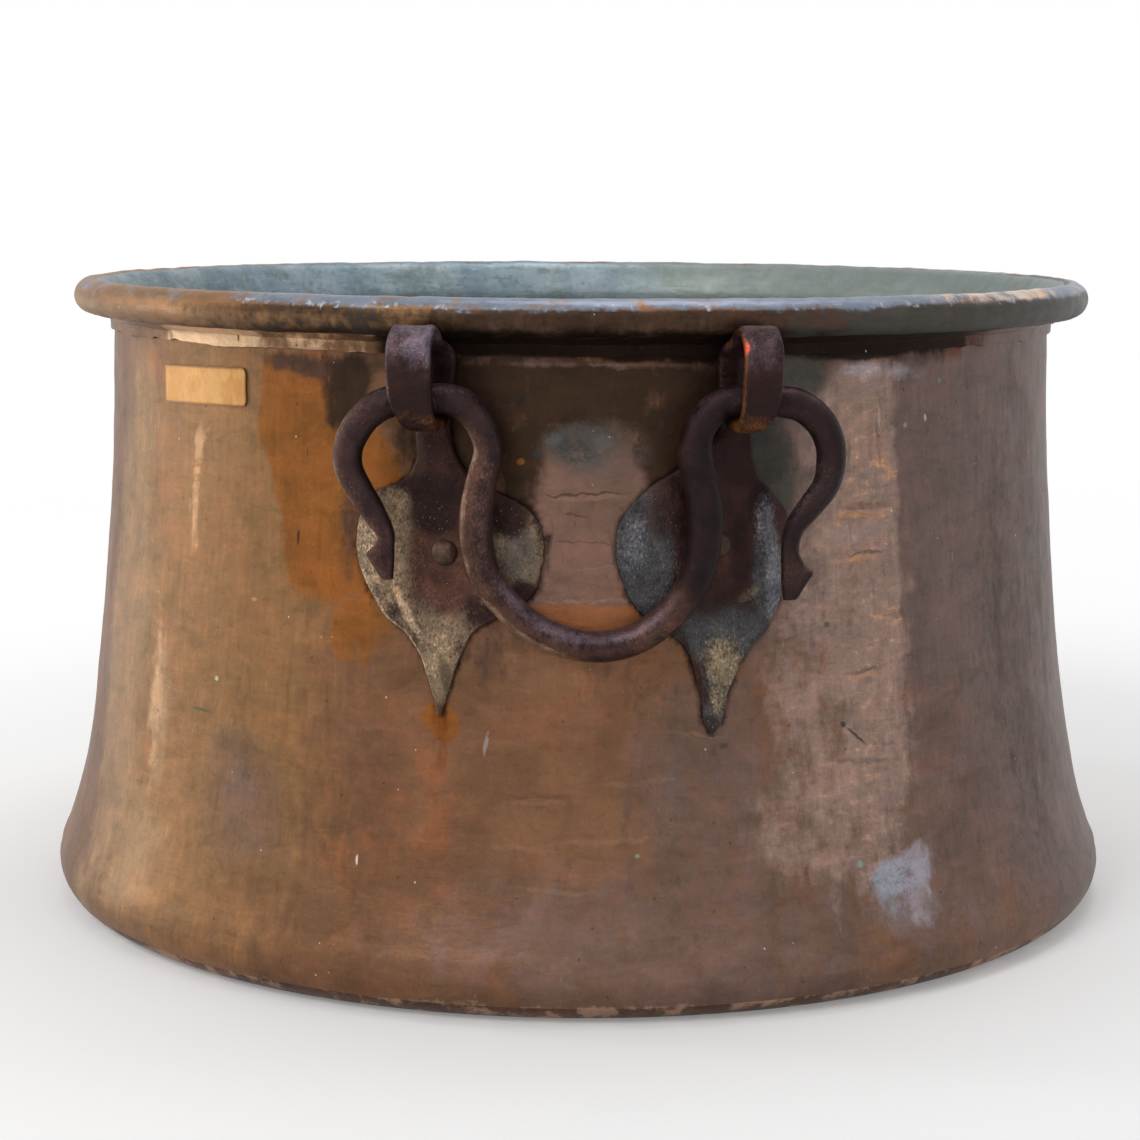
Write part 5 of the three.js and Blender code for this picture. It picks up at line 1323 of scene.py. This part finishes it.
def rivet_places():
    """Each rivet's ear, name, azimuth, height, the iron under its head and its head"""
    places = []
    for ear_name, ear in EARS.items():
        eye_azimuth = math.atan2(ear["eye_x"], AXIS_Y)
        side, drop = ear["rivet"]
        leaf_height = AXIS_HEIGHT - drop
        leaf_azimuth = ear["side"] * (eye_azimuth + side / float(wall_radius(leaf_height)))
        places.append((ear_name, "leaf", leaf_azimuth, leaf_height, LEAF, LEAF_HEAD))
        eye_height = AXIS_HEIGHT - EYE_RIVET_DROP
        places.append((ear_name, "eye", ear["side"] * eye_azimuth, eye_height, STRAP, EYE_HEAD))
    return places


def make_rivets(prefix, half_turn):
    for seed, (ear_name, spot, azimuth, height, stack, head) in enumerate(rivet_places()):
        seat = 2 * GAP + stack
        head_radius, head_height = head
        dome = [
            (0.05 * MM, seat + head_height, 1), (0.34 * head_radius, seat + 0.95 * head_height, 1),
            (0.66 * head_radius, seat + 0.76 * head_height, 1), (0.88 * head_radius, seat + 0.46 * head_height, 1),
            (head_radius, seat + 0.1 * head_height, 0.6), (0.97 * head_radius, seat, 0), (SHANK_RADIUS, seat, 0),
        ]
        inner_face = -SHEET - 2 * GAP
        inner_seat = inner_face - ROVE_THICKNESS - GAP
        peen_radius, peen_height = PEEN
        shank = [(SHANK_RADIUS, inner_seat, 0), (0.97 * peen_radius, inner_seat, 0)]
        peen = [
            (peen_radius, inner_seat - 0.15 * peen_height, 0.6), (0.86 * peen_radius, inner_seat - 0.6 * peen_height, 1),
            (0.5 * peen_radius, inner_seat - 0.9 * peen_height, 1), (0.05 * MM, inner_seat - peen_height, 1),
        ]
        node = f"{prefix}_{ear_name}_{spot}"
        rivet = wrought_round(f"{node}_rivet_forging", dome + shank + peen, azimuth, height, [f"{node}_rivet"],
                              half_turn, 0.4 * MM, 60 + seed)
        add_field(rivet, "rust", np.full(len(rivet.data.vertices), 0.3))
        hole = SHANK_RADIUS + GAP
        rove = [
            (hole, inner_face, 0), (0.97 * ROVE_RADIUS, inner_face, 0), (ROVE_RADIUS, inner_face - 0.3 * MM, 1),
            (ROVE_RADIUS, inner_face - ROVE_THICKNESS + 0.4 * MM, 1),
            (0.95 * ROVE_RADIUS, inner_face - ROVE_THICKNESS, 0.4), (hole, inner_face - ROVE_THICKNESS, 0.2),
        ]
        make_rove(f"{node}_rove", rove, azimuth, height, half_turn, 80 + seed)


def make_rove(node, profile, azimuth, height, half_turn, seed):
    """A hammered washer: its profile goes round its section and closes on itself"""
    origin, aside, up, out = on_wall_frame(azimuth, height)
    origin = origin + out * float(dents(np.array([azimuth]), np.array([height]))[0])
    corners = np.array(profile + profile[:1])
    far = path_lengths(corners[:, :2])
    places = even_steps(0, far[-1], 0.6 * MM)[:-1]
    radius, depth, share = (np.interp(places, far, corners[:, i]) for i in range(3))
    turn = np.arange(ROUND_COLUMNS) * 2 * math.pi / ROUND_COLUMNS
    local = np.stack(np.broadcast_arrays(
        radius[:, None] * np.cos(turn), radius[:, None] * np.sin(turn), depth[:, None]), axis=-1)
    beaten = (0.5 * lumps(local, 4 * MM, seed) * share[:, None])[..., None] * 0.5 * MM
    spread = local * np.array([1, 1, 0])
    spread /= np.linalg.norm(spread, axis=-1, keepdims=True)
    local = local + spread * beaten
    rings = origin + local[..., :1] * aside + local[..., 1:2] * up + local[..., 2:] * out
    rings = half_turned(rings) if half_turn else rings
    count = len(places)
    grid = np.arange(count * ROUND_COLUMNS).reshape(count, ROUND_COLUMNS)
    lower = np.roll(grid, -1, axis=0)
    faces = np.stack([grid, np.roll(grid, -1, axis=1), np.roll(lower, -1, axis=1), lower], axis=-1).reshape(-1, 4)
    make_piece(f"{node}_forging", rings.reshape(-1, 3), faces, "rivet", "vessel", [node])


# The bails
def bail_rows():
    left = [(-EARS["left"]["eye_x"] / MM - side, *rest) for side, *rest in LEFT_HALF]
    right = [(EARS["right"]["eye_x"] / MM + side, *rest) for side, *rest in RIGHT_HALF]
    return np.array(left + BEND + right[::-1]) * MM


def rest_lean():
    """How far the hanging bail leans out before its bend rests on the wall"""
    _, drop, _, _, half = (value * MM for value in BEND[2])
    reach = float(wall_radius(AXIS_HEIGHT - drop)) + half + GAP
    return math.asin((reach - AXIS_Y) / drop)


def make_bail(prefix, half_turn):
    rows = bail_rows()
    far = path_lengths(rows[:, :2])
    places = even_steps(0, far[-1], RING_STEP)
    x, drop, outer, inner, across = smooth_rows(places, far, rows).T
    ends = np.minimum(places, far[-1] - places)
    foot_left, foot_right = far[FOOT_ROWS - 1], far[-1] - far[-FOOT_ROWS]
    foot_length = np.where(places < far[-1] / 2, foot_left, foot_right)
    crisp = 1 - blend_step(ends, 0.8 * foot_length, 1.3 * foot_length)
    straight = np.interp(places, far, rows[:, 2])
    outer = outer * (1 - crisp) + straight * crisp
    slope = np.gradient(np.stack([x, drop], axis=1), axis=0)
    turn = np.arctan2(-slope[:, 1], slope[:, 0])
    angle = np.arange(BAR_SIDES) * 2 * math.pi / BAR_SIDES
    power = (1 - 0.3 * crisp)[:, None]
    cosine, sine = np.cos(angle), np.sin(angle)
    sideways = np.sign(cosine) * np.abs(cosine) ** power * np.where(cosine > 0, outer[:, None], inner[:, None])
    lift = np.sign(sine) * np.abs(sine) ** power * across[:, None]
    rings = np.stack([
        x[:, None] - sideways * np.sin(turn)[:, None], -lift, -drop[:, None] + sideways * np.cos(turn)[:, None],
    ], axis=-1)
    normals, way = ring_normals(rings)
    beaten = 0.22 * lumps(rings, 15 * MM, 91) + 0.13 * lumps(rings, 5 * MM, 92)
    around, along = np.broadcast_arrays(angle * BAR_RADIUS, places[:, None])
    facets = hammer_marks(around, along, 14 * MM, 93, 2 * math.pi * BAR_RADIUS)
    near_eye = np.minimum(np.abs(x + EARS["left"]["eye_x"]), np.abs(x - EARS["right"]["eye_x"]))
    in_eye = 1 - blend_step(near_eye + drop, 14 * MM, 22 * MM)
    contact = (1 - blend_step(np.abs(x - rows[len(LEFT_HALF) + 2, 0]), 16 * MM, 28 * MM)) * (drop > 100 * MM)
    calm = 1 - 0.75 * np.maximum(in_eye, contact)
    relief = ((beaten + 0.12 * facets - 0.05) * calm[:, None] - 0.3 * in_eye[:, None]) * MM
    rings = rings + normals * relief[..., None]
    lean = rest_lean()
    y, z = rings[..., 1], rings[..., 2]
    hung = np.stack([
        rings[..., 0], y * math.cos(lean) + z * math.sin(lean) - AXIS_Y,
        z * math.cos(lean) - y * math.sin(lean) + AXIS_HEIGHT,
    ], axis=-1)
    points = hung.reshape(-1, 3)
    points = half_turned(points) if half_turn else points
    body = f"{prefix}_handle"
    node = f"{prefix}_bail"
    piece = make_piece(f"{node}_forging", points, tube_faces(rings, way), "bar", body, [node], 40)
    shape = rings.shape[:2]
    flat_x = np.broadcast_to(x[:, None], shape)
    flat_drop = np.broadcast_to(drop[:, None], shape)
    patchy = lumps(rings, 20 * MM, 95)
    bend = blend_step(flat_drop, 88 * MM, 112 * MM) * (1 - blend_step(np.abs(flat_x), 56 * MM, 70 * MM))
    topmost = blend_step(normals[..., 2], -0.2, 0.5)
    left_arm = (1 - blend_step(flat_x, -52 * MM, -40 * MM)) * blend_step(flat_x, -74 * MM, -60 * MM)
    right_arm = blend_step(flat_x, 52 * MM, 60 * MM) * (1 - blend_step(flat_x, 72 * MM, 82 * MM))
    feet = np.broadcast_to((1 - blend_step(ends, foot_length, 1.6 * foot_length))[:, None], shape)
    inner_arms = (1 - blend_step(np.abs(flat_x), 74 * MM, 84 * MM)) * blend_step(flat_drop, 10 * MM, 30 * MM)
    leftward = blend_step(-normals[..., 0], -0.1, 0.7) * np.maximum(inner_arms, 0.8 * (flat_x < 0))
    rightward = blend_step(normals[..., 0], 0.1, 0.8)
    brow = blend_step(normals[..., 2], 0.1, 0.8) * (1 - bend)
    # The sheen field paints a sheen on the bend's top and on upward-facing parts.
    add_field(piece, "sheen", np.clip(bend * (0.3 + 0.5 * topmost) + 0.45 * brow + 0.3 * patchy, 0, 1))
    # The rust field is rust on the bend's underside, the feet and in patches, and a painted warmer lit side where the
    # bar faces left.
    rust_and_lit_side = 0.85 * leftward + 0.7 * bend * (1 - topmost) + 0.3 * feet + 0.2 * left_arm + 0.25 * patchy
    add_field(piece, "rust", np.clip(rust_and_lit_side, 0, 1))
    # The dark field paints shade on the right arm, the right foot and right-facing sides.
    shadow = np.maximum(0.75 * right_arm, 0.6 * (flat_x > 84 * MM)) * (1 - brow)
    add_field(piece, "dark", np.clip(shadow + 0.5 * rightward * (1 - bend) - 0.3 * patchy, 0, 1))
    add_field(piece, "ember", np.clip(0.9 * lumps(rings, 11 * MM, 97) - 0.45, 0, 1))
    # The tan field paints a highlight on the bar's lit left-facing side.
    lit = blend_step(-0.9 * normals[..., 0] - 0.8 * normals[..., 2] * bend, 0.45, 0.9)
    lit_side_highlight = lit * np.where(flat_x < 20 * MM, 1.0, 0.3) * (0.65 + 0.8 * lumps(rings, 10 * MM, 99))
    add_field(piece, "tan", np.clip(lit_side_highlight, 0, 1))
    add_field(piece, "grit", np.clip(0.65 + 0.5 * patchy, 0, 1))


# The blank plate
def make_plate():
    """The small blank plate, bent to the wall, with its right-hand corners rounded"""
    width, height, corner = PLATE["width"], PLATE["height"], PLATE["corner"]
    centre = WIRE_HEIGHT - PLATE["drop"]
    columns = even_steps(-width / 2, width / 2, 1.1 * MM)
    rows = 18
    past = np.maximum(0, columns - (width / 2 - corner))
    half_high = height / 2 - corner + np.sqrt(np.maximum(corner**2 - past**2, 0))
    share = np.linspace(-1, 1, rows)
    x = np.broadcast_to(columns[:, None], (len(columns), rows))
    y = half_high[:, None] * share
    up = centre + x * math.sin(PLATE["turn"]) + y * math.cos(PLATE["turn"])
    around = x * math.cos(PLATE["turn"]) - y * math.sin(PLATE["turn"])
    azimuth = PLATE["azimuth"] + around / float(wall_radius(centre))
    under = GAP + dents(azimuth, up)
    flat = np.stack([x, y, np.zeros(x.shape)], axis=-1)
    face = under + PLATE["thickness"] + 0.12 * MM * lumps(flat, 9 * MM, 71)
    back = at_azimuth(*off_wall(up, under), azimuth)
    front = at_azimuth(*off_wall(up, face), azimuth)
    rings = np.concatenate([front, back[:, ::-1]], axis=1)
    normals, way = ring_normals(rings)
    piece = make_piece("blank_plate_sheet", rings.reshape(-1, 3), tube_faces(rings, way), "gilt",
                       "vessel", ["blank_plate"], 40)
    inset = np.minimum(width / 2 - np.abs(x), half_high[:, None] - np.abs(y))
    border = 1 - blend_step(inset, 0, 2.6 * MM)
    add_field(piece, "border", np.concatenate([border, border[:, ::-1]], axis=1))


def dress_cad(node, finish):
    """Gives a CAD node that stays as it is a better material"""
    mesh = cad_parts[node].data
    mesh.materials.clear()
    mesh.materials.append(FINISHES[finish])
    mesh.polygons.foreach_set("use_smooth", [True] * len(mesh.polygons))
    mesh.set_sharp_from_angle(angle=math.radians(40))


# The stage, the light and the camera
def make_stage():
    """A pale floor that fades into the white surround"""
    bpy.ops.mesh.primitive_plane_add(size=30, location=(0, 0, -0.2 * MM))
    floor = bpy.context.object
    floor.name = "floor"
    f = Finish("pale_floor")
    from_middle = f.add("ShaderNodeVectorMath", {0: f.place}, operation="LENGTH").outputs["Value"]
    path = f.add("ShaderNodeLightPath").outputs
    seen = f.math("MAXIMUM", path["Is Camera Ray"], path["Is Glossy Ray"])
    seen = f.math("MAXIMUM", seen, path["Is Transmission Ray"])
    glow = f.math("MULTIPLY", f.between(from_middle, 0.5, 2.4, 0.2, 1.0), seen)
    shade = f.between(from_middle, 0.8, 2.4, 0.82, 0.0)
    base = f.add("ShaderNodeCombineColor", {0: shade, 1: shade, 2: shade}).outputs[0]
    f.set(Base_Color=base, Roughness=0.9, Emission_Color=(1, 1, 1, 1), Emission_Strength=glow)
    f.set(**{"Specular_IOR_Level": 0.0})
    floor.data.materials.append(f.material)


def make_light():
    world = bpy.data.worlds.new("soft_studio")
    bpy.context.scene.world = world
    world.use_nodes = True
    tree = world.node_tree
    path = tree.nodes.new("ShaderNodeLightPath")
    shown = tree.nodes.new("ShaderNodeMath")
    shown.operation = "MAXIMUM"
    tree.links.new(path.outputs["Is Camera Ray"], shown.inputs[0])
    tree.links.new(path.outputs["Is Glossy Ray"], shown.inputs[1])
    both = tree.nodes.new("ShaderNodeMath")
    both.operation = "MAXIMUM"
    tree.links.new(shown.outputs[0], both.inputs[0])
    tree.links.new(path.outputs["Is Transmission Ray"], both.inputs[1])
    strength = tree.nodes.new("ShaderNodeMapRange")
    strength.inputs["To Min"].default_value = 0.52
    strength.inputs["To Max"].default_value = 1.0
    tree.links.new(both.outputs[0], strength.inputs["Value"])
    background = tree.nodes["Background"]
    background.inputs["Color"].default_value = (1, 1, 1, 1)
    tree.links.new(strength.outputs["Result"], background.inputs["Strength"])
    add_lamp("key", (-1.5, -2.2, 2.2), 26, (1.1, 1.1))
    add_lamp("top", (0.3, 0.3, 2.6), 15, (1.4, 1.4))
    add_lamp("side", (-2.2, 0.4, 0.6), 10, (0.3, 1.6))


def add_lamp(name, place, power, size):
    """A soft lamp that looks at the middle of the cauldron"""
    lamp = bpy.data.lights.new(name, "AREA")
    lamp.energy = power
    lamp.shape = "RECTANGLE"
    lamp.size, lamp.size_y = size
    shown = bpy.data.objects.new(name, lamp)
    shown.location = place
    middle = Matrix.Translation((0, 0, 0.18)).translation
    aim = middle - shown.location
    shown.rotation_euler = aim.to_track_quat("-Z", "Y").to_euler()
    bpy.context.scene.collection.objects.link(shown)


def make_camera():
    camera = bpy.data.cameras.new("photo_camera")
    camera.sensor_width = 36
    camera.lens = 80.17
    camera.clip_end = 60
    shown = bpy.data.objects.new("photo_camera", camera)
    bpy.context.scene.collection.objects.link(shown)
    place = Matrix.Translation((-5.84 * MM, -1607.6 * MM, 438.93 * MM))
    tilt = Matrix.Rotation(math.radians(90) - 0.1519, 4, "X")
    roll = Matrix.Rotation(0.005, 4, "Z")
    shown.matrix_world = place @ tilt @ roll
    bpy.context.scene.camera = shown


make_camera()
make_wall()
make_pan()
dress_cad("rim_wire", "wire")
for prefix, half_turn in (("front", False), ("rear", True)):
    for ear_name in EARS:
        make_ear(prefix, ear_name, half_turn)
    make_rivets(prefix, half_turn)
    make_bail(prefix, half_turn)
make_plate()
make_stage()
make_light()
bpy.context.scene.view_settings.view_transform = "Standard"
